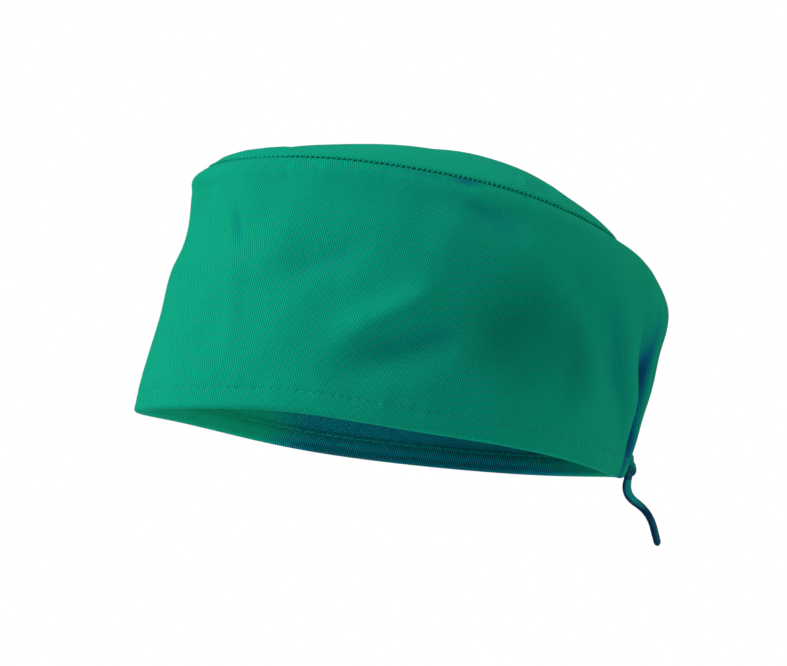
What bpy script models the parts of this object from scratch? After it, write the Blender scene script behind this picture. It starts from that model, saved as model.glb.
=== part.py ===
"""A tie-back sanitary cap of green twill, as worn: an oval crown on a deep side band with a drawcord hem.

Metres, +Z up. The rim's plane is z = 0 and its middle is the origin. The forehead is at -Y, the knot at
the nape at +Y, and the wearer's left is +X. Angles run round the cap from the forehead, 0, through the
left ear, 90, to the nape, 180.
"""

import math
from collections import namedtuple

import bmesh
import bpy

# Rim, for a head of about 570 mm round
RIM_FRONT = 0.1065
RIM_BACK = 0.1145
RIM_WIDTH = 0.1560
RIM_LIFT = 0.0023

# Side band and crown
SEAM_HEIGHT = 0.1030
SEAM_TILT = 0.0034
SEAM_ARCH = 0.0038
SEAM_LEAN = 0.9
DOME_RISE = 0.0242
DOME_FULLNESS = 2.2
DOME_CENTRE = 0.0240
CLOTH = 0.0012
SEAT_GAP = 0.0003

# Hem, the tunnel that the drawcord runs in
HEM_HEIGHT = 0.0095
HEM_PLY = 0.0010

# Drawcord: a folded tape, its knot and its one loose end
CORD_WIDTH = 0.0034
CORD_THICKNESS = 0.0009
CORD_RISE = 0.0032
KNOT_DEPTH = 0.0058
KNOT_WIDTH = 0.0062
KNOT_HEIGHT = 0.0100
KNOT_CENTRE = 0.0054
NECK_WIDTH = 0.0034
TURN_THICKNESS = 0.0010
TURN_BREADTH = 0.0030
TURN_SLANT = 0.30
COLLAR_LENGTH = 0.0004
COLLAR_SET_IN = 0.0017
COLLAR_ROOT = 0.0024

# Gathers and dents
PINCH_SPREAD = 40.0
FAN_AT_RIM = 0.5
FAN_WITH_HEIGHT = 0.9
GATHER_DEPTH = 0.0060
DENT_DEPTH = 0.0040
CALM_AT_HEM = 0.16
CALM_AT_SEAM = 0.12

# How finely the cloth is faceted
WALL_ROWS = 15
CROWN_RINGS = 6
FRONT_STEP = 5.0
NAPE_STEP = 2.5
NAPE_ANGLE = 60.0
CORD_SIDES_RESOLUTION = 3
KNOT_SIDES = 14
KNOT_BELTS = 9
TURN_STEPS = 18
TURN_SIDES = 6
COLLAR_SIDES = 12
SHARP_ANGLE = 40.0
TANGENT_STEP = 0.5

# Level outlines of the band, from the rim to the crown seam: height is a share of the band's height,
# front, back and width are shares of the rim's, and pinch is how far the drawcord pulls in the nape
Section = namedtuple("Section", "height front back width pinch")
SECTIONS = (
    Section(0.00, 1.002, 1.000, 1.000, 0.62),
    Section(0.10, 0.990, 1.020, 1.006, 0.58),
    Section(0.22, 0.967, 1.038, 1.014, 0.45),
    Section(0.38, 0.948, 1.055, 1.018, 0.28),
    Section(0.56, 0.927, 1.067, 1.002, 0.12),
    Section(0.68, 0.890, 1.076, 0.984, 0.06),
    Section(0.78, 0.873, 1.062, 0.962, 0.03),
    Section(0.89, 0.876, 1.000, 0.922, 0.00),
    Section(0.95, 0.884, 0.935, 0.892, 0.00),
    Section(1.00, 0.832, 0.835, 0.846, 0.00),
)

# How the rim rises out of its plane or dips below it: angle and spread are degrees, and rise a share
# of RIM_LIFT
Lift = namedtuple("Lift", "angle spread rise")
RIM_LIFTS = (
    Lift(0.0, 16.0, -0.30),
    Lift(54.0, 24.0, 1.20),
    Lift(104.0, 30.0, 0.62),
    Lift(188.0, 28.0, 1.00),
    Lift(268.0, 26.0, -0.35),
    Lift(310.0, 26.0, 0.80),
)

# Valleys that fan out and up from the knot: from_nape and spread are degrees, depth a share of
# GATHER_DEPTH, and the valley is deepest at the height share deepest and gone at the height share top
Gather = namedtuple("Gather", "from_nape spread depth deepest top")
GATHERS = (
    Gather(-55.0, 7.0, 0.40, 0.45, 0.90),
    Gather(-34.0, 4.5, 1.00, 0.34, 0.85),
    Gather(-19.0, 3.5, 0.50, 0.45, 0.95),
    Gather(-4.0, 4.0, 0.75, 0.35, 0.90),
    Gather(12.0, 4.0, 0.60, 0.40, 0.95),
    Gather(28.0, 4.5, 0.90, 0.35, 0.88),
    Gather(48.0, 6.0, 0.40, 0.30, 0.75),
)

# Soft dents and ridges of the band: angle and tilt are degrees, height a share of the band's, length
# and breadth are shares of it too, and depth a share of DENT_DEPTH, less than 0 for a ridge
Dent = namedtuple("Dent", "angle height length breadth tilt depth")
DENTS = (
    Dent(33.0, 0.44, 0.42, 0.07, -80.0, 0.22),
    Dent(53.0, 0.62, 0.36, 0.08, 32.0, 0.50),
    Dent(73.0, 0.41, 0.46, 0.07, 41.0, -0.42),
    Dent(80.0, 0.33, 0.46, 0.08, 38.0, 0.60),
    Dent(86.0, 0.70, 0.28, 0.12, 30.0, -0.35),
    Dent(95.0, 0.89, 0.26, 0.06, 0.0, 0.35),
    Dent(100.0, 0.47, 0.30, 0.13, 50.0, 0.75),
    Dent(245.0, 0.42, 0.36, 0.16, -55.0, 0.70),
    Dent(290.0, 0.55, 0.40, 0.16, -30.0, 0.60),
    Dent(322.0, 0.70, 0.22, 0.08, 60.0, 0.40),
)

# Radial puckers of the crown: angle and spread are degrees, depth a share of DENT_DEPTH
Pucker = namedtuple("Pucker", "angle spread depth")
PUCKERS = (
    Pucker(146.0, 9.0, 0.40),
    Pucker(166.0, 7.0, 0.30),
    Pucker(196.0, 8.0, 0.35),
    Pucker(218.0, 9.0, 0.30),
)

# Loose end of the drawcord, from the knot's collar: x, y and z
TAIL_ROUTE = (
    (0.0000, 0.0000, 0.0000),
    (-0.0001, -0.0001, -0.0019),
    (-0.0002, 0.0002, -0.0039),
    (-0.0002, 0.0013, -0.0063),
    (-0.0001, 0.0036, -0.0084),
    (0.0001, 0.0067, -0.0101),
    (0.0003, 0.0096, -0.0121),
    (0.0005, 0.0121, -0.0147),
    (0.0006, 0.0139, -0.0175),
    (0.0005, 0.0153, -0.0205),
    (0.0004, 0.0167, -0.0237),
    (0.0003, 0.0180, -0.0267),
)
TAIL_POINTS_EACH = 2

TWILL_GREEN = (0.010, 0.215, 0.130, 1.0)
CORD_GREEN = (0.008, 0.130, 0.110, 1.0)
CLOTH_ROUGHNESS = 0.9


def along(places, values, place):
    """A smooth curve through the values, read at a place."""
    last = len(places) - 1
    i = max(0, min(last - 1, sum(p <= place for p in places) - 1))
    span = places[i + 1] - places[i]

    def slope(k):
        before, after = max(k - 1, 0), min(k + 1, last)
        return (values[after] - values[before]) / (places[after] - places[before])

    s = (place - places[i]) / span
    return (
        (2 * s**3 - 3 * s**2 + 1) * values[i]
        + (s**3 - 2 * s**2 + s) * span * slope(i)
        + (3 * s**2 - 2 * s**3) * values[i + 1]
        + (s**3 - s**2) * span * slope(i + 1)
    )


def section_at(height):
    """The band's level outline at a height share, read smoothly between the rows of SECTIONS."""
    places = [row.height for row in SECTIONS]
    columns = zip(*(row[1:] for row in SECTIONS))
    return Section(height, *(along(places, column, height) for column in columns))


def turn_between(angle, other):
    """The signed angle from other to angle, in degrees, the short way round."""
    return (angle - other + 180.0) % 360.0 - 180.0


def bell(angle, middle, spread):
    """A smooth hump round an angle, 1 at its middle."""
    return math.exp(-((turn_between(angle, middle) / spread) ** 2))


def rim_height(angle):
    return RIM_LIFT * sum(row.rise * bell(angle, row.angle, row.spread) for row in RIM_LIFTS)


def seam_height(angle):
    turn = math.radians(angle)
    arch = SEAM_ARCH * math.sin(turn) ** 2 * (1.0 + SEAM_LEAN * math.cos(turn))
    return SEAM_HEIGHT + SEAM_TILT * math.cos(turn) + arch


def gather_depth(angle, height):
    """How far the drawcord's gathers push the cloth in at this place."""
    depth = 0.0
    fan = FAN_AT_RIM + FAN_WITH_HEIGHT * height
    for row in GATHERS:
        if height >= row.top:
            continue
        across = (turn_between(angle, 180.0) / fan - row.from_nape) / row.spread
        if height < row.deepest:
            rise = math.sin(0.5 * math.pi * height / row.deepest) ** 2
        else:
            rise = math.cos(0.5 * math.pi * (height - row.deepest) / (row.top - row.deepest)) ** 2
        depth += row.depth * math.exp(-across * across) * rise
    return GATHER_DEPTH * depth


def dent_depth(angle, height):
    """How far the band's soft dents push the cloth in at this place, fading out at the hem and the seam."""
    depth = 0.0
    for row in DENTS:
        round_way = math.radians(turn_between(angle, row.angle)) * 0.5 * RIM_WIDTH / SEAM_HEIGHT
        up = height - row.height
        tilt = math.radians(row.tilt)
        along_it = round_way * math.cos(tilt) + up * math.sin(tilt)
        across_it = up * math.cos(tilt) - round_way * math.sin(tilt)
        depth += row.depth * math.exp(-((2 * along_it / row.length) ** 2) - (across_it / row.breadth) ** 2)
    fade = min(1.0, height / CALM_AT_HEM) * min(1.0, (1.0 - height) / CALM_AT_SEAM)
    return DENT_DEPTH * depth * fade


def outline(angle, height):
    """The band's outer plan outline at a height share, before its gathers and dents."""
    row = section_at(height)
    turn = math.radians(angle)
    reach = row.front * RIM_FRONT if math.cos(turn) > 0 else row.back * RIM_BACK
    pulled = row.pinch * bell(angle, 180.0, PINCH_SPREAD)
    return 0.5 * row.width * RIM_WIDTH * math.sin(turn) * (1.0 - pulled), -reach * math.cos(turn)


def inward(angle, height):
    """The unit plan direction from the outline to the inside of the cap."""
    x0, y0 = outline(angle - TANGENT_STEP, height)
    x1, y1 = outline(angle + TANGENT_STEP, height)
    length = math.hypot(x1 - x0, y1 - y0)
    return (y0 - y1) / length, (x1 - x0) / length


def wall_point(angle, height, inset=0.0):
    """A point of the band at an angle and a height share, moved in from its outer face by inset."""
    x, y = outline(angle, height)
    in_x, in_y = inward(angle, height)
    depth = inset + gather_depth(angle, height) + dent_depth(angle, height)
    z = (1.0 - height) * rim_height(angle) + height * seam_height(angle)
    return x + depth * in_x, y + depth * in_y, z


def hem_point(angle, inset, above_rim):
    """A point in the hem, given how far it is in from the outer face and above the rim."""
    height = above_rim / (seam_height(angle) - rim_height(angle))
    return wall_point(angle, height, inset)


def cloth_angles():
    """Columns round the cap, closer together at the gathered nape."""
    left = [FRONT_STEP * i for i in range(round((180.0 - NAPE_ANGLE) / FRONT_STEP))]
    nape = [180.0 - NAPE_ANGLE + NAPE_STEP * i for i in range(round(2 * NAPE_ANGLE / NAPE_STEP) + 1)]
    right = [360.0 - angle for angle in reversed(left[1:])]
    return left + nape + right


def finish(name, mesh_or_curve, colour):
    """Links a named object that carries its own matte cloth material."""
    made = bpy.data.objects.new(name, mesh_or_curve)
    bpy.context.scene.collection.objects.link(made)
    material = bpy.data.materials.new(name)
    material.use_nodes = True
    shader = material.node_tree.nodes["Principled BSDF"]
    shader.inputs["Base Color"].default_value = colour
    shader.inputs["Roughness"].default_value = CLOTH_ROUGHNESS
    shader.inputs["Metallic"].default_value = 0.0
    made.data.materials.append(material)
    return made


def mesh_from(name, build):
    """A mesh that build fills with bmesh, shaded smooth except at its sharp edges."""
    work = bmesh.new()
    build(work)
    mesh = bpy.data.meshes.new(name)
    work.to_mesh(mesh)
    work.free()
    mesh.shade_smooth()
    mesh.set_sharp_from_angle(angle=math.radians(SHARP_ANGLE))
    return mesh


def ring_of(work, points):
    return [work.verts.new(point) for point in points]


def bridge(work, lower, upper):
    """Quads between two closed rings of as many vertices."""
    for i in range(len(lower)):
        j = (i + 1) % len(lower)
        work.faces.new((lower[i], lower[j], upper[j], upper[i]))


def thicken(made):
    """Gives a single sheet of cloth its thickness, inwards from the modelled face."""
    solid = made.modifiers.new("cloth", "SOLIDIFY")
    solid.thickness = CLOTH
    solid.offset = -1.0
    solid.use_even_offset = True
    solid.use_rim = True
    return solid


def build_side_band():
    """The deep band from the hem's fold up to the crown seam, with the slot that the cord leaves by."""
    angles = cloth_angles()
    foot = HEM_PLY + SEAT_GAP

    def build(work):
        rings = []
        for i in range(WALL_ROWS + 1):
            share = i / WALL_ROWS
            ring = []
            for angle in angles:
                start = foot / (seam_height(angle) - rim_height(angle))
                ring.append(wall_point(angle, start + (1.0 - start) * share))
            rings.append(ring_of(work, ring))
        for lower, upper in zip(rings, rings[1:]):
            bridge(work, lower, upper)

    band = finish("side_band", mesh_from("side_band", build), TWILL_GREEN)
    thicken(band)
    cut = band.modifiers.new("cord slot", "BOOLEAN")
    cut.operation = "DIFFERENCE"
    cut.object = build_slot_cutter()
    return band


def nape_point(above_rim, outwards=0.0):
    """A point on the middle line of the nape, behind the hem's outer face by outwards."""
    x, y, z = hem_point(180.0, 0.0, above_rim)
    return x, y + outwards, z


def build_slot_cutter():
    """A box through the band at the nape, as wide and high as the knot's neck and its clearance."""
    reach = 2.0 * (CLOTH + SEAT_GAP)

    def build(work):
        bmesh.ops.create_cube(work, size=1.0)
        size = (NECK_WIDTH + 2 * SEAT_GAP, 2 * reach, NECK_WIDTH + 2 * SEAT_GAP)
        bmesh.ops.scale(work, vec=size, verts=work.verts)
        bmesh.ops.translate(work, vec=nape_point(KNOT_CENTRE), verts=work.verts)

    cutter = finish("slot_cutter", mesh_from("slot_cutter", build), TWILL_GREEN)
    cutter.hide_render = True
    cutter.display_type = "WIRE"
    return cutter


def build_crown():
    """The oval top panel, domed above the seam and puckered over the nape."""
    count = round(360.0 / FRONT_STEP)
    angles = [FRONT_STEP * i for i in range(count)]
    lift = SEAT_GAP + CLOTH
    apex = SEAM_HEIGHT + lift + DOME_RISE

    def point(angle, reach):
        x, y, _ = wall_point(angle, 1.0)
        edge = seam_height(angle) + lift
        pucker = sum(row.depth * bell(angle, row.angle, row.spread) for row in PUCKERS)
        sunk = DENT_DEPTH * pucker * math.sin(math.pi * reach) * reach
        z = apex - (apex - edge) * reach**DOME_FULLNESS - sunk
        return x * reach, DOME_CENTRE * (1.0 - reach) + y * reach, z

    def build(work):
        rings = [
            ring_of(work, [point(angle, 1.0 - i / (CROWN_RINGS + 1)) for angle in angles])
            for i in range(CROWN_RINGS + 1)
        ]
        for lower, upper in zip(rings, rings[1:]):
            bridge(work, lower, upper)
        top = work.verts.new((0.0, DOME_CENTRE, apex))
        for i in range(count):
            work.faces.new((rings[-1][i], rings[-1][(i + 1) % count], top))

    crown = finish("crown", mesh_from("crown", build), TWILL_GREEN)
    thicken(crown)
    return crown


def sweep_round(work, profile, angles):
    """Sweeps a closed profile of (inset, above rim) corners round the hem."""
    rings = [ring_of(work, [hem_point(angle, *corner) for angle in angles]) for corner in profile]
    for i, ring in enumerate(rings):
        bridge(work, ring, rings[(i + 1) % len(rings)])


def build_hem_casing():
    """The turned-up hem: the fold under the band's edge and the ply inside it, a tunnel for the cord."""
    tunnel = CLOTH + 2 * SEAT_GAP + CORD_THICKNESS
    profile = (
        (0.0, HEM_PLY),
        (0.0, 0.0),
        (tunnel + HEM_PLY, 0.0),
        (tunnel + HEM_PLY, HEM_HEIGHT),
        (tunnel, HEM_HEIGHT),
        (tunnel, HEM_PLY),
    )

    def build(work):
        sweep_round(work, profile, cloth_angles())
        bmesh.ops.recalc_face_normals(work, faces=work.faces)

    return finish("hem_casing", mesh_from("hem_casing", build), TWILL_GREEN)


def build_drawcord_loop():
    """The stretch of the cord that runs flat in the hem's tunnel, all the way round to the knot's neck."""
    near = CLOTH + SEAT_GAP
    low = CORD_RISE
    profile = (
        (near, low + CORD_WIDTH),
        (near, low),
        (near + CORD_THICKNESS, low),
        (near + CORD_THICKNESS, low + CORD_WIDTH),
    )

    def build(work):
        sweep_round(work, profile, cloth_angles())
        bmesh.ops.recalc_face_normals(work, faces=work.faces)

    return finish("drawcord_loop", mesh_from("drawcord_loop", build), CORD_GREEN)


def knot_middle():
    return nape_point(KNOT_CENTRE, SEAT_GAP + 0.5 * KNOT_DEPTH)


def build_drawcord_knot():
    """The overhand knot against the nape: a body, the turn wrapped round it, its neck and its collar."""
    middle = knot_middle()

    def body(work):
        bmesh.ops.create_uvsphere(work, u_segments=KNOT_SIDES, v_segments=KNOT_BELTS, radius=0.5)
        bmesh.ops.scale(work, vec=(KNOT_WIDTH, KNOT_DEPTH, KNOT_HEIGHT), verts=work.verts)
        bmesh.ops.translate(work, vec=middle, verts=work.verts)

    knot = finish("drawcord_knot", mesh_from("drawcord_knot", body), CORD_GREEN)
    for part in (build_knot_turn(middle), build_knot_neck(), build_knot_collar()):
        part.hide_render = True
        part.display_type = "WIRE"
        join = knot.modifiers.new(part.name, "BOOLEAN")
        join.operation = "UNION"
        join.object = part
    return knot


def build_knot_turn(middle):
    """One slanting turn of the tape round the knot's body, clear of the cap's face."""
    across = 0.5 * KNOT_WIDTH
    through = 0.5 * KNOT_DEPTH - SEAT_GAP

    def turn_point(turn, lean):
        out = 1.0 + 0.5 * TURN_THICKNESS * (math.cos(lean) - 1.0) / across
        x = (across + 0.5 * TURN_THICKNESS) * out * math.cos(turn)
        y = through * out * math.sin(turn)
        z = TURN_SLANT * x + 0.5 * TURN_BREADTH * math.sin(lean)
        return middle[0] + x, middle[1] + y, middle[2] + z

    def build(work):
        rings = []
        for i in range(TURN_STEPS):
            turn = 2 * math.pi * i / TURN_STEPS
            leans = [2 * math.pi * k / TURN_SIDES for k in range(TURN_SIDES)]
            rings.append(ring_of(work, [turn_point(turn, lean) for lean in leans]))
        for i, ring in enumerate(rings):
            bridge(work, ring, rings[(i + 1) % TURN_STEPS])
        bmesh.ops.recalc_face_normals(work, faces=work.faces)

    return finish("knot_turn", mesh_from("knot_turn", build), CORD_GREEN)


def build_knot_neck():
    """The two cord ends together, from the tape in the tunnel out to the knot."""
    length = CLOTH + SEAT_GAP + 0.5 * KNOT_DEPTH
    middle = nape_point(KNOT_CENTRE, 0.5 * length - CLOTH)

    def build(work):
        bmesh.ops.create_cube(work, size=1.0)
        bmesh.ops.scale(work, vec=(NECK_WIDTH, length, NECK_WIDTH), verts=work.verts)
        bmesh.ops.translate(work, vec=middle, verts=work.verts)

    return finish("knot_neck", mesh_from("knot_neck", build), CORD_GREEN)


def collar_end():
    """Where the loose end leaves the knot, at the flat underside of the collar."""
    x, y, z = knot_middle()
    return x, y - COLLAR_SET_IN, z - 0.5 * KNOT_HEIGHT - COLLAR_LENGTH


def build_knot_collar():
    """The short round stub that the loose end comes out of."""
    x, y, z = collar_end()

    def build(work):
        bmesh.ops.create_cone(
            work,
            cap_ends=True,
            segments=COLLAR_SIDES,
            radius1=0.5 * CORD_WIDTH,
            radius2=0.5 * CORD_WIDTH,
            depth=COLLAR_LENGTH + COLLAR_ROOT,
        )
        bmesh.ops.translate(work, vec=(x, y, z + 0.5 * (COLLAR_LENGTH + COLLAR_ROOT)), verts=work.verts)

    return finish("knot_collar", mesh_from("knot_collar", build), CORD_GREEN)


def build_drawcord_tail():
    """The cord's one loose end, hanging free below the rim."""
    x, y, z = collar_end()
    places = list(range(len(TAIL_ROUTE)))
    columns = list(zip(*TAIL_ROUTE))
    points = []
    for i in range(TAIL_POINTS_EACH * (len(TAIL_ROUTE) - 1) + 1):
        dx, dy, dz = (along(places, column, i / TAIL_POINTS_EACH) for column in columns)
        points.append((x + dx, y + dy, z - SEAT_GAP + dz))
    curve = bpy.data.curves.new("drawcord_tail", "CURVE")
    curve.dimensions = "3D"
    curve.bevel_depth = 0.5 * CORD_WIDTH
    curve.bevel_resolution = CORD_SIDES_RESOLUTION
    curve.use_fill_caps = True
    spline = curve.splines.new("POLY")
    spline.points.add(len(points) - 1)
    for point, place in zip(spline.points, points):
        point.co = (*place, 1.0)
    return finish("drawcord_tail", curve, CORD_GREEN)


def main():
    for old in list(bpy.data.objects):
        bpy.data.objects.remove(old)
    build_side_band()
    build_crown()
    build_hem_casing()
    build_drawcord_loop()
    build_drawcord_knot()
    build_drawcord_tail()


main()
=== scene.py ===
"""The looks of a tie-back sanitary cap of green twill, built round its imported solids.

Metres, +Z up, in the solids' own frame: the rim's plane is z = 0, the forehead is at -Y, the knot at the
nape at +Y, and the wearer's left is +X. Angles run round the cap from the forehead, 0, through the left
ear, 90, to the nape, 180. A height is a share of the way from the rim, 0, to the crown seam, 1.
"""

import math
from collections import namedtuple

import bpy
import numpy as np
from bpy.props import FloatProperty, FloatVectorProperty, IntProperty, PointerProperty
from mathutils import Matrix, Vector


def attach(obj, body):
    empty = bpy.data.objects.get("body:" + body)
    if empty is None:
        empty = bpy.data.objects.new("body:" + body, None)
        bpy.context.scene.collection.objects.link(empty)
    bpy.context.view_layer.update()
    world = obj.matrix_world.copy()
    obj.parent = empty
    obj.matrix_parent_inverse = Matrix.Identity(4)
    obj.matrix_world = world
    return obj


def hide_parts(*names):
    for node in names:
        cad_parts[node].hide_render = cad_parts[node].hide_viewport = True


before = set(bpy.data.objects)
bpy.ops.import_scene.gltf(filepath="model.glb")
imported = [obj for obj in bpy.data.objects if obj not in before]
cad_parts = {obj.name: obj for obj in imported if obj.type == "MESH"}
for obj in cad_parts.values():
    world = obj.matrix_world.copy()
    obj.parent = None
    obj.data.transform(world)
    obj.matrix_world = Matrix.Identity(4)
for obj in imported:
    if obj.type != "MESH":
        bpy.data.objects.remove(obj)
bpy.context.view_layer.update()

bl_info = {
    "name": "Sanitary cap",
    "version": (1, 0, 0),
    "blender": (4, 5, 0),
    "location": "3D View > Sidebar > Cap",
    "description": "Twill, seams, stitches and drawcord of a tie-back sanitary cap",
    "category": "Add Mesh",
}

MM = 0.001
TURN = 2.0 * math.pi
BODY = "root"

# The shape that the solids share, for a head of about 570 mm round
RIM_FRONT = 0.1065
RIM_BACK = 0.1145
RIM_WIDTH = 0.1560
RIM_LIFT = 0.0023
SEAM_HEIGHT = 0.1030
SEAM_TILT = 0.0034
SEAM_ARCH = 0.0038
SEAM_LEAN = 0.9
CROWN_LIFT = 0.0015
DOME_RISE = 0.0242
DOME_FULLNESS = 2.2
DOME_CENTRE = 0.0240
PINCH_SPREAD = 40.0
FAN_AT_RIM = 0.5
FAN_WITH_HEIGHT = 0.9
GATHER_DEPTH = 0.0060
DENT_DEPTH = 0.0040
CALM_AT_HEM = 0.16
CALM_AT_SEAM = 0.12
TANGENT_STEP = 0.5

# The knot and the loose end, as the solids have them
KNOT_CENTRE = 0.0054
KNOT_SEAT = 0.0032
COLLAR_SET_IN = 0.0017
COLLAR_DROP = 0.0057

Section = namedtuple("Section", "height front back width pinch")
SECTIONS = (
    Section(0.00, 1.002, 1.000, 1.000, 0.62),
    Section(0.10, 0.990, 1.020, 1.006, 0.58),
    Section(0.22, 0.967, 1.038, 1.014, 0.45),
    Section(0.38, 0.948, 1.055, 1.018, 0.28),
    Section(0.56, 0.927, 1.067, 1.002, 0.12),
    Section(0.68, 0.890, 1.076, 0.984, 0.06),
    Section(0.78, 0.873, 1.062, 0.962, 0.03),
    Section(0.89, 0.876, 1.000, 0.922, 0.00),
    Section(0.95, 0.884, 0.935, 0.892, 0.00),
    Section(1.00, 0.832, 0.835, 0.846, 0.00),
)

Lift = namedtuple("Lift", "angle spread rise")
RIM_LIFTS = (
    Lift(0.0, 16.0, -0.30),
    Lift(54.0, 24.0, 1.20),
    Lift(104.0, 30.0, 0.62),
    Lift(188.0, 28.0, 1.00),
    Lift(268.0, 26.0, -0.35),
    Lift(310.0, 26.0, 0.80),
)

Gather = namedtuple("Gather", "from_nape spread depth deepest top")
GATHERS = (
    Gather(-55.0, 7.0, 0.40, 0.45, 0.90),
    Gather(-34.0, 4.5, 1.00, 0.34, 0.85),
    Gather(-19.0, 3.5, 0.50, 0.45, 0.95),
    Gather(-4.0, 4.0, 0.75, 0.35, 0.90),
    Gather(12.0, 4.0, 0.60, 0.40, 0.95),
    Gather(28.0, 4.5, 0.90, 0.35, 0.88),
    Gather(48.0, 6.0, 0.40, 0.30, 0.75),
)

Dent = namedtuple("Dent", "angle height length breadth tilt depth")
DENTS = (
    Dent(33.0, 0.44, 0.42, 0.07, -80.0, 0.22),
    Dent(53.0, 0.62, 0.36, 0.08, 32.0, 0.50),
    Dent(73.0, 0.41, 0.46, 0.07, 41.0, -0.42),
    Dent(80.0, 0.33, 0.46, 0.08, 38.0, 0.60),
    Dent(86.0, 0.70, 0.28, 0.12, 30.0, -0.35),
    Dent(95.0, 0.89, 0.26, 0.06, 0.0, 0.35),
    Dent(100.0, 0.47, 0.30, 0.13, 50.0, 0.75),
    Dent(245.0, 0.42, 0.36, 0.16, -55.0, 0.70),
    Dent(290.0, 0.55, 0.40, 0.16, -30.0, 0.60),
    Dent(322.0, 0.70, 0.22, 0.08, 60.0, 0.40),
)

Pucker = namedtuple("Pucker", "angle spread depth")
PUCKERS = (
    Pucker(146.0, 9.0, 0.40),
    Pucker(166.0, 7.0, 0.30),
    Pucker(196.0, 8.0, 0.35),
    Pucker(218.0, 9.0, 0.30),
)

# Creases finer than the solids': a route of (angle, height) places, the depth in mm, less than 0 for a
# ridge and 0 for a patch of painted shade alone, the widths in mm to the left and the right of the route,
# the share of the route that each end fades over, and the painted shade: how much of the painted shade's
# colour it takes, where more than 1 is darker still, or, less than 0, how much the cloth's colour is dimmed
Crease = namedtuple("Crease", "route depth left right fade shade")
CREASES = (
    Crease(((23, 0.82), (26, 0.73), (30, 0.62)), 1.00, 1.3, 2.4, 0.40, 0.30),
    Crease(((21, 0.78), (24, 0.68), (28, 0.58)), -0.50, 2.0, 1.4, 0.45, 0.0),
    Crease(((28, 0.66), (31, 0.45), (34, 0.18)), -1.25, 6.0, 3.6, 0.35, 0.0),
    Crease(((44, 0.52), (51, 0.56), (58, 0.61), (67, 0.68)), 1.25, 4.5, 5.5, 0.34, 0.12),
    Crease(((60, 0.29), (67, 0.36), (73, 0.42), (79, 0.49), (84, 0.57)), -1.90, 6.0, 5.0, 0.28, 0.0),
    Crease(
        ((64, 0.22), (70, 0.27), (76, 0.33), (83, 0.37), (92, 0.39), (101, 0.39)),
        1.35, 4.0, 7.5, 0.35, 0.17,
    ),
    Crease(((59, 0.46), (63, 0.53), (67, 0.60)), -0.40, 4.0, 5.0, 0.50, 0.0),
    Crease(((94, 0.30), (102, 0.46), (110, 0.66)), 1.60, 11.0, 11.0, 0.45, 0.0),
    Crease(((92, 0.32), (106, 0.44), (120, 0.58)), 0.0, 24.0, 20.0, 0.40, -0.28),
    Crease(((114, 0.78), (118, 0.54), (119, 0.32), (117, 0.12)), 0.0, 12.0, 8.0, 0.42, -0.20),
    Crease(((86, 0.30), (94, 0.34), (105, 0.29)), 0.0, 13.0, 9.0, 0.45, -0.20),
    Crease(((86, 0.89), (95, 0.86), (106, 0.82)), 0.80, 4.0, 6.5, 0.45, 0.26),
    Crease(((63, 0.992), (74, 0.985), (86, 0.982), (98, 0.985)), 1.40, 1.2, 1.4, 0.40, 0.20),
    Crease(((87, 0.990), (90, 0.978), (95, 0.985)), 2.40, 1.4, 2.0, 0.45, 0.0),
    Crease(((84, 0.999), (90, 0.989), (96, 0.996)), 0.0, 1.6, 1.6, 0.40, 0.50),
    Crease(((117, 0.82), (123, 0.60), (129, 0.38)), -0.85, 6.0, 5.0, 0.40, 0.0),
    Crease(((124, 0.72), (130, 0.53), (135, 0.40), (142, 0.24)), 0.65, 2.6, 3.0, 0.40, 0.05),
    Crease(((130, 0.70), (136, 0.48), (143, 0.28), (150, 0.08)), -1.10, 4.5, 4.0, 0.25, 0.0),
    Crease(
        ((150.5, 0.80), (152, 0.56), (153.5, 0.38), (156, 0.20), (159.5, 0.0), (163, -0.20)),
        2.00, 3.2, 5.0, 0.35, 1.25,
    ),
    Crease(
        ((149, 0.56), (151.5, 0.40), (156.5, 0.24), (160.5, 0.12), (163.5, 0.02)),
        0.0, 3.5, 3.6, 0.30, 1.15,
    ),
    Crease(((150, 0.82), (157, 0.62), (162, 0.46), (166, 0.28), (172, 0.10)), -1.15, 2.4, 3.0, 0.30, 0.0),
    Crease(((204, 0.06), (212, 0.28), (222, 0.60)), -1.00, 4.0, 4.0, 0.35, 0.0),
    Crease(((194, 0.06), (199, 0.26), (204, 0.62)), 1.50, 3.5, 3.5, 0.35, 0.70),
    Crease(((216, 0.08), (228, 0.30), (240, 0.52)), 0.80, 4.0, 5.0, 0.40, 0.20),
    Crease(((178, 0.10), (180, 0.34), (182, 0.66)), -0.70, 3.0, 3.0, 0.35, 0.0),
    Crease(((238, 0.56), (254, 0.42), (270, 0.28)), 0.95, 6.0, 7.0, 0.40, 0.15),
    Crease(((244, 0.66), (262, 0.53), (280, 0.40)), -0.70, 7.0, 6.0, 0.40, 0.0),
    Crease(((286, 0.74), (298, 0.62), (312, 0.44)), -0.75, 5.0, 7.0, 0.40, 0.0),
    Crease(((292, 0.62), (305, 0.50), (318, 0.34)), 0.80, 5.0, 6.0, 0.40, 0.15),
    Crease(((326, 0.80), (330, 0.66), (334, 0.50)), 0.70, 2.4, 3.4, 0.45, 0.20),
)
CREASE_STEPS = 16

# Creases of the crown, whose heights are shares of the way from its middle, 0, to the seam, 1
CROWN_CREASES = (
    Crease(((114, 0.70), (110, 0.84), (107, 0.97)), -0.85, 1.4, 2.2, 0.4, 0.0),
    Crease(((130, 0.66), (126, 0.82), (122, 0.97)), -0.85, 1.4, 2.2, 0.4, 0.0),
    Crease(((122, 0.70), (118, 0.84), (115, 0.97)), 0.60, 4.0, 4.0, 0.4, 0.15),
    Crease(((226, 0.60), (227, 0.80), (228, 0.96)), -0.45, 3.0, 3.0, 0.4, 0.0),
    Crease(((338, 0.70), (336, 0.84), (334, 0.96)), 0.35, 3.0, 4.0, 0.4, 0.10),
)

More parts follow.
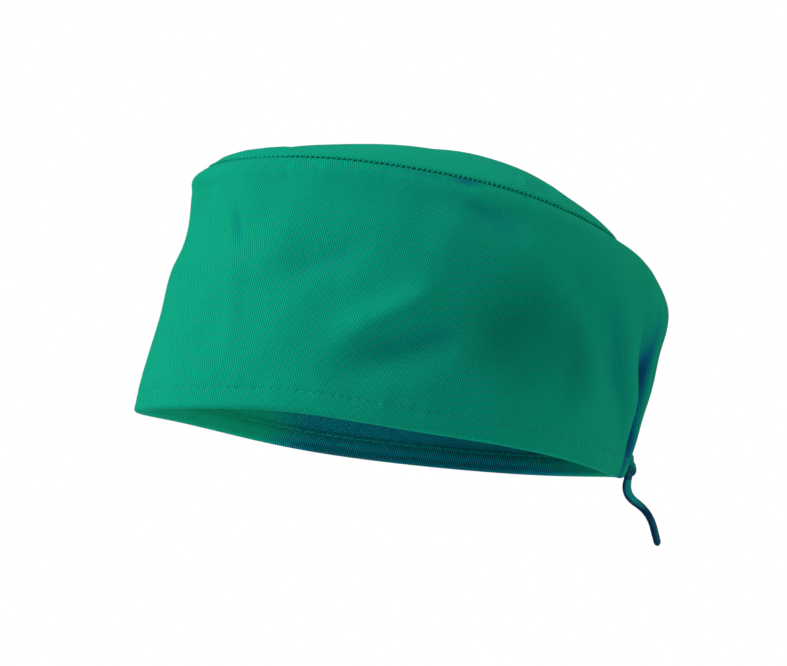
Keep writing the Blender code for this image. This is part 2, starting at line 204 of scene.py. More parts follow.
# Waves of loosely worn cloth: wavelength round and up the band in mm, size in mm, and start in turns
Wave = namedtuple("Wave", "round up size start")
CLOTH_WAVES = (
    Wave(61.0, 83.0, 0.34, 0.15),
    Wave(37.0, -52.0, 0.20, 0.62),
    Wave(-23.0, 71.0, 0.12, 0.38),
    Wave(88.0, -34.0, 0.22, 0.81),
)
SEAM_WAVES = (
    Wave(4.9, 1e6, 0.04, 0.20),
    Wave(7.7, 1e6, 0.06, 0.70),
    Wave(17.9, 1e6, 0.08, 0.45),
)
HEM_WAVES = (
    Wave(5.3, 1e6, 0.05, 0.10),
    Wave(8.7, 1e6, 0.08, 0.55),
    Wave(21.0, 1e6, 0.12, 0.30),
)
# Puckers beside the seam's and the hem's thread: how far from it they reach, and their gains
SEAM_PUCKER_REACH = 3.0 * MM
SEAM_PUCKER_MOST = 4.0
BAND_PUCKER_GAIN = 2.7
CROWN_PUCKER_GAIN = 2.0
CROWN_PUCKER_SHIFT = 4.0 * MM
HEM_PUCKER_REACH = 4.0 * MM
HEM_LINE = 8.6 * MM
# Painted shade in the valleys of the drawcord's gathers
GATHER_SHADE = 0.35

# Humps round the cap, by the angle of the middle, the spread and the gain: the metres that the seam is
# drawn up over the left ear, the stronger puckers beside the forehead, and the closer columns of corners
Hump = namedtuple("Hump", "angle spread gain")
EAR_PULL = Hump(106.0, 26.0, 0.0020)
FRONT_PUCKER = Hump(20.0, 40.0, 0.8)
FINER_COLUMNS = (Hump(60.0, 60.0, 0.4), Hump(172.0, 30.0, 0.9))

# Where the painted shade of the inside starts and ends, in degrees round the cap, and what it fades over,
# how much stronger it is on the hem's fold, from which of the fold's rows on, and its share at the top
HOLLOW_START = 196.0
HOLLOW_RISE = 34.0
HOLLOW_END = 290.0
HOLLOW_FALL = 20.0
UNDER_FROM = 3
UNDER_GAIN = 0.6
HOLLOW_AT_TOP = 0.5

# Sections through the cloth, in mm. The band's run from its raw edge in the seam up over the seam's roll
# and down its face, and after the face from the hem's fold up to the ply's edge: beyond is measured up
# from the crown seam or from the rim
Stop = namedtuple("Stop", "beyond inset")
BAND_TOP = (
    Stop(-7.0, 2.00), Stop(-5.4, 2.00), Stop(-3.8, 2.00), Stop(-2.2, 2.00), Stop(-1.0, 1.98),
    Stop(-0.35, 1.85), Stop(0.0, 1.50), Stop(0.05, 1.15), Stop(-0.15, 0.85), Stop(-0.55, 0.64),
    Stop(-1.05, 0.50), Stop(-1.7, 0.42),
)
FACE_TOP = 2.5
FACE_FOOT = 10.6
FACE_INSET = 0.40
FACE_ROWS = 74
HEM_FACE = (
    Stop(9.8, 0.42), Stop(9.2, 0.50), Stop(8.9, 0.60), Stop(8.6, 0.66), Stop(8.3, 0.60), Stop(8.0, 0.50),
    Stop(7.4, 0.42), Stop(6.5, 0.40), Stop(5.6, 0.40), Stop(4.6, 0.40), Stop(3.6, 0.40), Stop(2.7, 0.40),
)
HEM_FOLD_RADIUS = 1.45
HEM_FOLD_ROWS = 9
HEM_INSIDE = (
    Stop(2.9, 3.30), Stop(4.2, 3.30), Stop(5.6, 3.20), Stop(6.6, 2.85), Stop(7.4, 2.30), Stop(8.0, 1.80),
    Stop(8.35, 1.56), Stop(8.6, 1.50), Stop(8.85, 1.47), Stop(9.2, 1.36), Stop(9.5, 1.29),
)
# The crown's, from its dome out over the seam's roll and down inside to its raw edge. Over the forehead
# its edge is tucked behind the band's roll, and the dome puffs up behind it
CROWN_ROLL = (
    Stop(1.20, 0.66), Stop(0.98, 0.66), Stop(0.88, 0.95), Stop(0.90, 1.55), Stop(0.82, 2.20),
    Stop(0.40, 2.75), Stop(-0.30, 2.98), Stop(-1.4, 3.02), Stop(-3.0, 3.02), Stop(-4.8, 3.02),
    Stop(-6.6, 3.02),
)
CROWN_INSIDE_FROM = 3
DOME_ROWS = 40
DOME_SPACING = 1.35
DOME_HOLE = 0.02
DOME_SINK = 0.45 * MM
DOME_WAVES = 0.8
DOME_CALM = 12.0 * MM
CROWN_EDGE = 0.9 * MM
ROLL_DROP = 0.62 * MM
ROLL_REACH = 1.3 * MM
TUCK_REACH = 40.0
TUCK_EASE = 9.0
TUCK_IN = 1.0 * MM
TUCK_DOWN = 0.9 * MM
TUCK_FADE = 3.0 * MM
PUFF_RISE = 1.9 * MM
PUFF_PLACE = 7.0 * MM

# The slot in the hem's outer ply: its width, how far above the rim it starts and ends, and its reach inwards
SLOT_WIDTH = 4.0 * MM
SLOT_LOW = 3.4 * MM
SLOT_HIGH = 7.4 * MM
SLOT_DEPTH = 1.4 * MM

# Stitches: how far in from the band's outer face the hem's two lines and the seam's lie, how far the seam's
# is above the band's edge, the degrees that its threads look up and slant, the points of a line, and the
# share of the thread's thickness that is bent down at a stitch's ends
HEM_STITCH_OUT = 0.22 * MM
HEM_STITCH_IN = 1.96 * MM
SEAM_STITCH_INSET = 0.02 * MM
SEAM_STITCH_RISE = 0.42 * MM
SEAM_STITCH_TILT = 12.0
SEAM_STITCH_SLANT = 58.0
STITCH_LINE_STEPS = 720
STITCH_TIP = 0.3

# Twill: the wales' lean from the level, the weave's pitches and depth, the sizes of its drift, patches and
# specks, how strongly each marks the colour's light, the plain light, how much darker the painted shade
# makes the deepest folds, the marks of the weave in the light and in the painted shade, and the light that
# shines through to the inside: its share, the colours' reach and its depth
WALE_LEAN = 63.0
THREAD_PITCH = 0.62 * MM
WEAVE_DEPTH = 0.07 * MM
DRIFT_SIZE = 9.0 * MM
DRIFT_TURNS = 0.55
THREAD_MARK = 0.35
PATCH_SIZE = 22.0 * MM
PATCH_MARK = 0.16
SPECK_SIZE = 0.9 * MM
SPECK_MARK = 0.10
SPECK_RELIEF = 0.35
PLAIN_LIGHT = 0.87
DARKEST_PAINTED_SHADE = 0.6
OUTSIDE_MARK = (0.85, 0.85)
INSIDE_MARK = (0.95, 2.20)
INSIDE_GLOW = 0.5
GLOW_COLOUR = (0.3, 1.0, 0.8)
GLOW_DEPTH = 1.2 * MM

# Sewing thread and tape: the sizes of their fluff, dye and wear, and the depth of their surfaces
FLUFF_SIZE = 0.35 * MM
FLUFF_DEPTH = 0.05 * MM
DYE_SIZE = 14.0 * MM
WEAR_SIZE = 2.6 * MM
TAPE_DEPTH = 0.08 * MM
TAPE_SHEEN = 0.1

# The loose end of the drawcord, from the knot's collar: x, y and z
TAIL_ROUTE = (
    (0.0000, 0.0000, 0.0000),
    (-0.0001, -0.0001, -0.0019),
    (-0.0002, 0.0002, -0.0039),
    (-0.0002, 0.0013, -0.0063),
    (-0.0001, 0.0036, -0.0084),
    (0.0001, 0.0067, -0.0101),
    (0.0003, 0.0096, -0.0121),
    (0.0005, 0.0121, -0.0147),
    (0.0006, 0.0139, -0.0175),
    (0.0005, 0.0153, -0.0205),
    (0.0004, 0.0167, -0.0237),
    (0.0003, 0.0180, -0.0267),
)
# Its tip, the fold's groove and its lean, and the painted shade: where along it the painted shade starts and
# over what share
TAIL_STEPS = 60
TAIL_TIP = 0.10 * MM
TAIL_TIP_LEAST = 0.04
TAIL_GROOVE = 0.40
TAIL_LEAN = 0.35
Shade = namedtuple("Shade", "share place reach")
TAIL_SHADE = Shade(0.72, 0.28, 0.24)
TAIL_FOLD_SHADE = Shade(0.20, 0.58, 0.09)
TAIL_EDGE_SHADE = 0.95
# The folded tape along the loose end: its width and thickness as shares of the tape's width, and the
# degrees that its flat side is turned from the wearer's left
Twist = namedtuple("Twist", "share width thick turn")
TAIL_TWISTS = (
    Twist(0.00, 1.06, 0.44, 0.0),
    Twist(0.12, 1.16, 0.40, 4.0),
    Twist(0.30, 1.08, 0.36, 10.0),
    Twist(0.48, 0.96, 0.34, 16.0),
    Twist(0.66, 0.94, 0.36, 10.0),
    Twist(0.84, 0.96, 0.38, 4.0),
    Twist(1.00, 0.92, 0.40, 0.0),
)
TAPE_SIDES = 20
TAPE_WIDE_ROUND = 0.75
TAPE_THICK_ROUND = 0.85
TAPE_RIB = 0.55 * MM
TAPE_PICK = 0.42 * MM
GROOVE_PLACE = 0.25
GROOVE_SHARE = 0.16
# Painted shade at one edge of the tape: where across it starts and over what share
EDGE_PLACE = 0.15
EDGE_WIDTH = 0.55

# The overhand knot, in mm round its middle: its loops as a trefoil, before them the neck out of the
# hem's slot, and after them the collar that the loose end comes out of. Its tape's half widths and half
# thicknesses are those of the loops and of the collar, which it turns and narrows to near its end
KNOT_OPEN = 0.34
KNOT_SIDE = 0.95
KNOT_OUT = 0.58
KNOT_LEAN = 0.30
KNOT_SHIFT = -1.55
KNOT_LIFT = 0.7
KNOT_UP = 1.36
KNOT_LOOP_POINTS = 13
KNOT_STEPS = 150
KNOT_WIDTHS = (1.80, 1.90)
KNOT_THICKNESSES = (1.05, 0.79)
KNOT_GROOVE = 0.45
KNOT_FACING = (2.2, 0.6, 0.6)
KNOT_FREE = 0.88
KNOT_NARROWS = 0.90
# Painted shade, darker low on the knot and at its tape's edges
KNOT_SHADE = 0.80
KNOT_SHADE_RISE = 1.5 * MM
KNOT_SHADE_START = 0.7
KNOT_EDGE_SHADE = 0.35
KNOT_NECK = ((0.0, -5.0, 0.1), (0.0, -3.9, 0.2), (-0.2, -2.9, 0.4))
KNOT_COLLAR = ((0.6, -1.9, -2.5), (0.25, -1.75, -4.1), (0.0, -1.70, -5.7))

# Soft lights far off, in degrees round from the forehead and up, the one in the hollow, and the white room
Lamp = namedtuple("Lamp", "name azimuth elevation colour")
LAMPS = (
    Lamp("key", 5.0, 30.0, (1.0, 1.0, 0.94)),
    Lamp("back", 172.0, 42.0, (1.0, 1.0, 0.6)),
    Lamp("top", 70.0, 75.0, (1.0, 1.0, 1.0)),
)
LAMP_DISTANCE = 1.6
LAMP_SIZE = 0.8
HOLLOW_LAMP_PLACE = (0.015, -0.025, 0.030)
HOLLOW_LAMP_AIM = (-55.0, -16.0)
HOLLOW_LAMP_SIZE = 0.05
HOLLOW_LAMP_COLOUR = (1.0, 1.0, 0.8)
ROOM_COLOUR = (0.58, 0.74, 1.0, 1.0)
WHITE = (1.0, 1.0, 1.0, 1.0)
FLOOR_SIZE = 3.0
FLOOR_COLOUR = (0.86, 0.87, 0.87)
FLOOR_PATCH = 0.4


def along(places, values, place):
    """A smooth curve through the values, read at each place of an array."""
    places, values, place = (np.asarray(item, dtype=float) for item in (places, values, place))
    slopes = np.empty_like(values)
    slopes[1:-1] = (values[2:] - values[:-2]) / (places[2:] - places[:-2])
    slopes[0] = (values[1] - values[0]) / (places[1] - places[0])
    slopes[-1] = (values[-1] - values[-2]) / (places[-1] - places[-2])
    i = np.clip(np.searchsorted(places, place, side="right") - 1, 0, len(places) - 2)
    span = places[i + 1] - places[i]
    s = (place - places[i]) / span
    return (
        (2 * s**3 - 3 * s**2 + 1) * values[i]
        + (s**3 - 2 * s**2 + s) * span * slopes[i]
        + (3 * s**2 - 2 * s**3) * values[i + 1]
        + (s**3 - s**2) * span * slopes[i + 1]
    )


def ease(share):
    """A smooth step from 0 to 1."""
    share = np.clip(share, 0.0, 1.0)
    return share * share * (3.0 - 2.0 * share)


def turn_between(angle, other):
    return (angle - other + 180.0) % 360.0 - 180.0


def bell(angle, middle, spread):
    """A smooth hump round an angle, 1 at its middle."""
    return np.exp(-((turn_between(angle, middle) / spread) ** 2))


def hump(angle, row):
    """What a hump adds at an angle."""
    return row.gain * bell(angle, row.angle, row.spread)


def lengths_along(points):
    """The running length at each point of a line."""
    return np.concatenate(([0.0], np.cumsum(np.linalg.norm(np.diff(points, axis=0), axis=1))))


def rim_height(angle):
    return RIM_LIFT * sum(row.rise * bell(angle, row.angle, row.spread) for row in RIM_LIFTS)


def seam_height(angle):
    turn = np.radians(angle)
    arch = SEAM_ARCH * np.sin(turn) ** 2 * (1.0 + SEAM_LEAN * np.cos(turn))
    return SEAM_HEIGHT + SEAM_TILT * np.cos(turn) + arch + hump(angle, EAR_PULL)


def outline(angle, height):
    """The band's outer plan outline, before its gathers and dents."""
    places = [row.height for row in SECTIONS]
    front, back, width, pinch = (
        along(places, column, height) for column in list(zip(*SECTIONS))[1:]
    )
    turn = np.radians(angle)
    reach = np.where(np.cos(turn) > 0, front * RIM_FRONT, back * RIM_BACK)
    pulled = pinch * bell(angle, 180.0, PINCH_SPREAD)
    return 0.5 * width * RIM_WIDTH * np.sin(turn) * (1.0 - pulled), -reach * np.cos(turn)


def inward(angle, height):
    """The unit plan direction from the outline to the inside of the cap."""
    x0, y0 = outline(angle - TANGENT_STEP, height)
    x1, y1 = outline(angle + TANGENT_STEP, height)
    length = np.hypot(x1 - x0, y1 - y0)
    return (y0 - y1) / length, (x1 - x0) / length


def gather_depth(angle, height):
    """How far the drawcord's gathers push the cloth in."""
    depth = np.zeros(np.broadcast(angle, height).shape)
    fan = FAN_AT_RIM + FAN_WITH_HEIGHT * height
    for row in GATHERS:
        across = (turn_between(angle, 180.0) / fan - row.from_nape) / row.spread
        below = np.sin(0.5 * np.pi * height / row.deepest) ** 2
        above = np.cos(0.5 * np.pi * (height - row.deepest) / (row.top - row.deepest)) ** 2
        rise = np.where(height < row.deepest, below, np.where(height < row.top, above, 0.0))
        depth += row.depth * np.exp(-across * across) * rise
    return GATHER_DEPTH * depth


def calm(height):
    """How freely the cloth dents, which the hem and the crown seam hold flat."""
    return np.clip(height / CALM_AT_HEM, 0.0, 1.0) * np.clip((1.0 - height) / CALM_AT_SEAM, 0.0, 1.0)


def dent_depth(angle, height):
    """How far the band's soft dents push the cloth in."""
    depth = np.zeros(np.broadcast(angle, height).shape)
    for row in DENTS:
        round_way = np.radians(turn_between(angle, row.angle)) * 0.5 * RIM_WIDTH / SEAM_HEIGHT
        up = height - row.height
        tilt = math.radians(row.tilt)
        along_it = round_way * math.cos(tilt) + up * math.sin(tilt)
        across_it = up * math.cos(tilt) - round_way * math.sin(tilt)
        depth += row.depth * np.exp(-((2 * along_it / row.length) ** 2) - (across_it / row.breadth) ** 2)
    return DENT_DEPTH * depth * calm(height)


def wall(angle, height, inset):
    """Points of the solids' band at angles and heights, moved in from its outer face by inset."""
    x, y = outline(angle, height)
    in_x, in_y = inward(angle, height)
    depth = inset + gather_depth(angle, height) + dent_depth(angle, height)
    z = (1.0 - height) * rim_height(angle) + height * seam_height(angle)
    return np.stack((x + depth * in_x, y + depth * in_y, z), axis=-1)


def nape_point(above_rim, outwards=0.0):
    """A point on the middle line of the nape, behind the hem's outer face by outwards."""
    height = above_rim / (seam_height(180.0) - rim_height(180.0))
    return wall(np.array(180.0), np.array(height), 0.0) + np.array((0.0, outwards, 0.0))


ARC_ANGLES = np.linspace(0.0, 360.0, 1441)
ARC_HEIGHT = 0.5


def measure_round():
    """The length of cloth from the forehead to each angle, measured half-way up the band."""
    return lengths_along(np.stack(outline(ARC_ANGLES, np.full_like(ARC_ANGLES, ARC_HEIGHT)), axis=-1))


ARC_LENGTHS = measure_round()
GIRTH = float(ARC_LENGTHS[-1])


def arc(angle):
    return np.interp(angle % 360.0, ARC_ANGLES, ARC_LENGTHS)


def crease_field(creases, across, up, place):
    """Depth and shade of the creases at places of the cloth, whose routes place() lays out in metres."""
    depth = np.zeros_like(across)
    shade = np.zeros_like(across)
    for row in creases:
        stops = np.linspace(0.0, 1.0, len(row.route))
        shares = np.linspace(0.0, 1.0, CREASE_STEPS + 1)
        corners = np.array([place(*corner) for corner in row.route])
        route = np.stack([along(stops, column, shares) for column in corners.T], axis=-1)
        nearest = np.full_like(across, np.inf)
        side = np.zeros_like(across)
        progress = np.zeros_like(across)
        for k in range(CREASE_STEPS):
            step = route[k + 1] - route[k]
            from_x, from_y = across - route[k][0], up - route[k][1]
            share = np.clip((from_x * step[0] + from_y * step[1]) / (step @ step), 0.0, 1.0)
            off_x, off_y = from_x - share * step[0], from_y - share * step[1]
            gap = np.hypot(off_x, off_y)
            closer = gap < nearest
            nearest = np.where(closer, gap, nearest)
            side = np.where(closer, step[0] * off_y - step[1] * off_x, side)
            progress = np.where(closer, (k + share) / CREASE_STEPS, progress)
        width = np.where(side > 0.0, row.left, row.right) * MM
        bulk = np.exp(-((nearest / width) ** 2)) * ease(progress / row.fade)
        bulk *= ease((1.0 - progress) / row.fade)
        depth += row.depth * MM * bulk
        shade += row.shade * bulk
    return depth, shade


def waves(rows, across, up):
    total = np.zeros(np.broadcast(across, up).shape)
    for row in rows:
        phase = across / (row.round * MM) + up / (row.up * MM) + row.start
        total += row.size * MM * np.sin(TURN * phase)
    return total


def seam_pull(distance):
    """How much the seam's thread puckers the cloth at a distance from it."""
    pull = np.clip(distance / SEAM_PUCKER_REACH, 0.0, SEAM_PUCKER_MOST)
    return pull * np.exp(-pull)


def cloth_angles(count):
    """Columns from the nape round to the nape, closer together where the cloth is creased most."""
    fine = np.linspace(180.0, 540.0, 3601)
    travel = np.abs(np.gradient(ARC_LENGTHS, ARC_ANGLES))
    wanted = np.interp(fine % 360.0, ARC_ANGLES, travel)
    wanted = wanted * (1.0 + sum(hump(fine, row) for row in FINER_COLUMNS))
    share = np.concatenate(([0.0], np.cumsum(0.5 * (wanted[1:] + wanted[:-1]))))
    share /= share[-1]
    return np.interp(np.arange(count) / count, share, fine)


def cloth_wall(angle, share, beyond, inset):
    """Points and shade of the worn band: a share of its height and metres beyond it, and metres inwards."""
    height = share + beyond / (seam_height(angle) - rim_height(angle))
    across, up = arc(angle), height * SEAM_HEIGHT
    depth, shade = crease_field(
        CREASES, across, up, lambda turn, level: (float(arc(turn)), level * SEAM_HEIGHT)
    )
    pull = seam_pull((1.0 - height) * SEAM_HEIGHT) * (1.0 + hump(angle, FRONT_PUCKER))
    depth = depth * calm(height) + waves(CLOTH_WAVES, across, up) * calm(height)
    depth += waves(SEAM_WAVES, across, up) * BAND_PUCKER_GAIN * pull
    hem_pull = np.exp(-(((up - HEM_LINE) / HEM_PUCKER_REACH) ** 2))
    depth += waves(HEM_WAVES, across, up) * hem_pull
    # painted shade in the creases and in the gathers' valleys
    shade = shade + GATHER_SHADE * np.clip(gather_depth(angle, height) / GATHER_DEPTH, 0.0, 1.0)
    return wall(angle, height, inset + depth), shade


def hollow_shade(angle):
    """How much of the deep shade's colour the inside takes, away from the light that shines through."""
    return ease((angle - HOLLOW_START) / HOLLOW_RISE) * ease((HOLLOW_END - angle) / HOLLOW_FALL)


def sheet_piece(name, points, flat, shade, hollow, inner_rows, materials, pole=None):
    """A closed ring of cloth from a grid of points, with its own UV map in metres and its shades."""
    rows, columns = points.shape[:2]
    i, j = np.mgrid[0: rows - 1, 0:columns]
    k = (j + 1) % columns
    ring = np.stack((i * columns + j, (i + 1) * columns + j, (i + 1) * columns + k, i * columns + k), axis=-1)
    faces = ring.reshape(-1, 4).tolist()
    corners = points.reshape(-1, 3).tolist()
    places = np.stack((flat[i, j], flat[i + 1, j], flat[i + 1, j + 1], flat[i, j + 1]), axis=2).reshape(-1, 2)
    slots = np.isin(i.ravel(), inner_rows).astype(np.int32)
    # the painted shade of the outside, and the painted shade of the inside kept as the hollow value
    painted_shades = shade.ravel()
    inside_painted_shades = np.broadcast_to(hollow, shade.shape).ravel()
    if pole is not None:
        step = np.arange(columns)
        hub = np.broadcast_to(flat[0].mean(axis=0), (columns, 2))
        corners.append(pole)
        faces += [[rows * columns, a, b] for a, b in zip(step.tolist(), ((step + 1) % columns).tolist())]
        places = np.concatenate((places, np.stack((hub, flat[0, :-1], flat[0, 1:]), axis=1).reshape(-1, 2)))
        slots = np.concatenate((slots, np.zeros(columns, dtype=np.int32)))
        painted_shades = np.append(painted_shades, 0.0)
        inside_painted_shades = np.append(inside_painted_shades, HOLLOW_AT_TOP)
    return mesh_piece(name, corners, faces, materials, places, {"shade": painted_shades, "hollow": inside_painted_shades}, slots)


def mesh_piece(name, corners, faces, materials, places=None, values=None, slots=None):
    """A smooth mesh as a new object, with its UV map, its values at the corners and its faces' materials."""
    mesh = bpy.data.meshes.new(name)
    mesh.from_pydata(corners, [], faces)
    for material in materials:
        mesh.materials.append(material)
    if places is not None:
        mesh.uv_layers.new(name="cloth").data.foreach_set("uv", places.ravel())
    for key, numbers in (values or {}).items():
        mesh.attributes.new(key, "FLOAT", "POINT").data.foreach_set("value", numbers)
    if slots is not None:
        mesh.polygons.foreach_set("material_index", slots)
    mesh.shade_smooth()
    mesh.update()
    piece = bpy.data.objects.new(name, mesh)
    bpy.context.scene.collection.objects.link(piece)
    return piece


def choose(piece):
    """Makes a piece the only one selected, and the active one."""
    bpy.ops.object.select_all(action="DESELECT")
    piece.select_set(True)
    bpy.context.view_layer.objects.active = piece


def thicken(piece, thickness):
    """Gives a sheet its thickness, half to each side of the modelled face."""
    solid = piece.modifiers.new("cloth", "SOLIDIFY")
    solid.thickness = thickness
    solid.offset = 0.0
    solid.material_offset = 1
    choose(piece)
    bpy.ops.object.modifier_apply(modifier=solid.name)


class Socket:
    """A node's output, on which arithmetic adds Math nodes."""

    def __init__(self, nodes, socket):
        self.nodes = nodes
        self.socket = socket

    def maths(self, operation, *values):
        return self.nodes.add("ShaderNodeMath", {"operation": operation}, dict(enumerate(values)))

    def __add__(self, other):
        return self.maths("ADD", self, other)

    def __sub__(self, other):
        return self.maths("SUBTRACT", self, other)

    def __rsub__(self, other):
        return self.maths("SUBTRACT", other, self)

    def __mul__(self, other):
        return self.maths("MULTIPLY", self, other)

    def __truediv__(self, other):
        return self.maths("DIVIDE", self, other)

    __radd__ = __add__
    __rmul__ = __mul__

    def wave(self):
        """A wave between 0 and 1 that repeats with each unit."""
        return self.maths("SINE", self * TURN) * 0.5 + 0.5

    def held(self):
        return self.nodes.add("ShaderNodeClamp", {}, {"Value": self})


class Nodes:
    """A node tree in the making."""

    def __init__(self, tree):
        self.tree = tree

    def add(self, kind, settings, values, output=0):
        """Any node: its settings are made first, then the values or links of its sockets."""
        node = self.tree.nodes.new(kind)
        for name, value in settings.items():
            setattr(node, name, value)
        for name, value in values.items():
            self.feed(node.inputs[name], value)
        return Socket(self, node.outputs[output])

    def feed(self, socket, value):
        if isinstance(value, Socket):
            self.tree.links.new(value.socket, socket)
        else:
            socket.default_value = value

    def parts(self, place):
        """The three numbers of a place."""
        first = self.add("ShaderNodeSeparateXYZ", {}, {0: place})
        return [Socket(self, output) for output in first.socket.node.outputs]


class Finish(Nodes):
    """A material in the making."""

    def __init__(self, name, roughness, specular):
        self.material = bpy.data.materials.new(name)
        self.material.use_nodes = True
        super().__init__(self.material.node_tree)
        self.shader = self.tree.nodes["Principled BSDF"]
        self.shader.inputs["Roughness"].default_value = roughness
        self.shader.inputs["Specular IOR Level"].default_value = specular

    def blend(self, share, first, second):
        """Mixes two colours."""
        return self.add("ShaderNodeMix", {"data_type": "RGBA"}, {0: share, 6: first, 7: second}, 2)

    def brighten(self, colour, factor):
        """A colour times a number."""
        return self.add("ShaderNodeVectorMath", {"operation": "SCALE"}, {0: colour, 3: factor})

    def noise(self, size, detail, where):
        values = {"Vector": where, "Scale": 1.0 / size, "Detail": detail, "Roughness": 0.6}
        return self.add("ShaderNodeTexNoise", {}, values)

    def own_place(self):
        """Places in the piece's own metres."""
        return self.add("ShaderNodeTexCoord", {}, {}, 3)

    def value_of(self, attribute):
        return self.add("ShaderNodeAttribute", {"attribute_name": attribute}, {}, 2)

    def colour(self, value):
        self.feed(self.shader.inputs["Base Color"], value)

    def relief(self, height, depth):
        bump = self.add("ShaderNodeBump", {}, {"Height": height, "Distance": depth, "Strength": 1.0})
        self.feed(self.shader.inputs["Normal"], bump)


def rgba(colour):
    return (*colour, 1.0)


def twill_finish(name, colour, deep, wale, mark, shade, glow):
    """Twill: steep fine wales, crossed by single threads, with a little mottling and painted shade in the
    folds.
    """
    finish = Finish(name, 0.92, 0.03)
    across, up, _ = finish.parts(finish.add("ShaderNodeUVMap", {"uv_map": "cloth"}, {}))
    solid = finish.own_place()
    lean = math.radians(WALE_LEAN)
    turns = max(1, round(GIRTH * math.sin(lean) / wale))
    pitch = GIRTH * math.sin(lean) / turns
    drift = (finish.noise(DRIFT_SIZE, 2.0, solid) - 0.5) * DRIFT_TURNS
    wales = (across * (math.sin(lean) / pitch) + up * (math.cos(lean) / pitch) + drift).wave()
    threads = (across * (math.cos(lean) / THREAD_PITCH) - up * (math.sin(lean) / THREAD_PITCH)).wave()
    weave = wales * (1.0 - THREAD_MARK + THREAD_MARK * threads)
    patches = finish.noise(PATCH_SIZE, 3.0, solid)
    specks = finish.noise(SPECK_SIZE, 1.0, solid)
    painted_fold_shade = finish.value_of(shade)
    marked = painted_fold_shade.held() * (mark[1] - mark[0]) + mark[0]
    light = (weave - THREAD_MARK) * marked + patches * PATCH_MARK + specks * SPECK_MARK + PLAIN_LIGHT
    # painted shade: past 1 it darkens the colour further, and below 0 it dims the cloth
    light = light * (1.0 - (painted_fold_shade - 1.0).held() * DARKEST_PAINTED_SHADE - (0.0 - painted_fold_shade).held())
    # the colour blends toward the painted shade colour by the painted shade value
    finish.colour(finish.brighten(finish.blend(painted_fold_shade.held(), rgba(colour), rgba(deep)), light))
    finish.relief(weave + specks * SPECK_RELIEF, WEAVE_DEPTH)
    finish.shader.inputs["Subsurface Weight"].default_value = glow
    finish.shader.inputs["Subsurface Radius"].default_value = GLOW_COLOUR
    finish.shader.inputs["Subsurface Scale"].default_value = GLOW_DEPTH
    return finish.material


def thread_finish(name, colour):
    """Sewing thread: a fine twist that catches a little light."""
    finish = Finish(name, 0.8, 0.08)
    solid = finish.own_place()
    fluff = finish.noise(FLUFF_SIZE, 2.0, solid)
    dye = finish.noise(DYE_SIZE, 2.0, solid)
    finish.colour(finish.brighten(colour, fluff * 0.5 + dye * 0.6 + 0.45))
    finish.relief(fluff, FLUFF_DEPTH)
    return finish.material


def tape_finish(name, colour, deep, own_map):
    """Folded tape of plain weave: ribs along it and finer picks across, paler where it is rubbed, and darker
    with its painted shade.
    """
    finish = Finish(name, 0.80, 0.10)
    solid = finish.own_place()
    where = finish.add("ShaderNodeUVMap", {"uv_map": "cloth"}, {}) if own_map else solid
    across, along_it, level = finish.parts(where)
    up = along_it if own_map else level
    ribs = (across / TAPE_RIB).wave()
    picks = (up / TAPE_PICK + across / TAPE_RIB * 0.5).wave()
    weave = ribs * 0.5 + picks * 0.5
    worn = finish.noise(WEAR_SIZE, 3.0, solid) * 0.5 - 0.25
    # the painted shade, with random wear, blends the tape toward its painted shade colour
    share = (finish.value_of("shade") + worn).held()
    finish.colour(finish.brighten(finish.blend(share, rgba(colour), rgba(deep)), weave * 0.45 + 0.72))
    finish.relief(weave, TAPE_DEPTH)
    finish.shader.inputs["Sheen Weight"].default_value = TAPE_SHEEN
    return finish.material


def stretch(low, high, share):
    return low + (high - low) * share


def closed_lengths(line):
    """The running length at each point of a closed line, and at its return to the start."""
    return lengths_along(np.vstack((line, line[:1])))


def unit(vectors):
    return vectors / np.maximum(np.linalg.norm(vectors, axis=-1, keepdims=True), 1e-12)


def model_stitch(length, thread):
    """One stitch, along X at the origin: a ball drawn out, with its two ends bent down into the cloth."""
    bpy.ops.object.select_all(action="DESELECT")
    bpy.ops.mesh.primitive_uv_sphere_add(segments=6, ring_count=5, radius=0.5 * thread)
    ball = bpy.context.active_object
    bpy.ops.object.mode_set(mode="EDIT")
    bpy.ops.mesh.select_all(action="SELECT")
    bpy.ops.transform.rotate(value=0.5 * math.pi, orient_axis="Y", center_override=(0.0, 0.0, 0.0))
    bpy.ops.mesh.select_mode(type="VERT")
    for side in (-1.0, 1.0):
        pick(ball, lambda place: place.x * side > 0.0)
        bpy.ops.transform.translate(value=(side * 0.5 * (length - thread), 0.0, 0.0))
        pick(ball, lambda place: place.x * side > 0.5 * length - STITCH_TIP * thread)
        bpy.ops.transform.translate(value=(0.0, 0.0, -0.5 * thread))
    bpy.ops.object.mode_set(mode="OBJECT")
    return ball


def pick(piece, wanted):
    """Selects, in edit mode, just the corners whose place is wanted."""
    bpy.ops.mesh.select_all(action="DESELECT")
    bpy.ops.object.mode_set(mode="OBJECT")
    for corner in piece.data.vertices:
        corner.select = bool(wanted(corner.co))
    bpy.ops.object.mode_set(mode="EDIT")


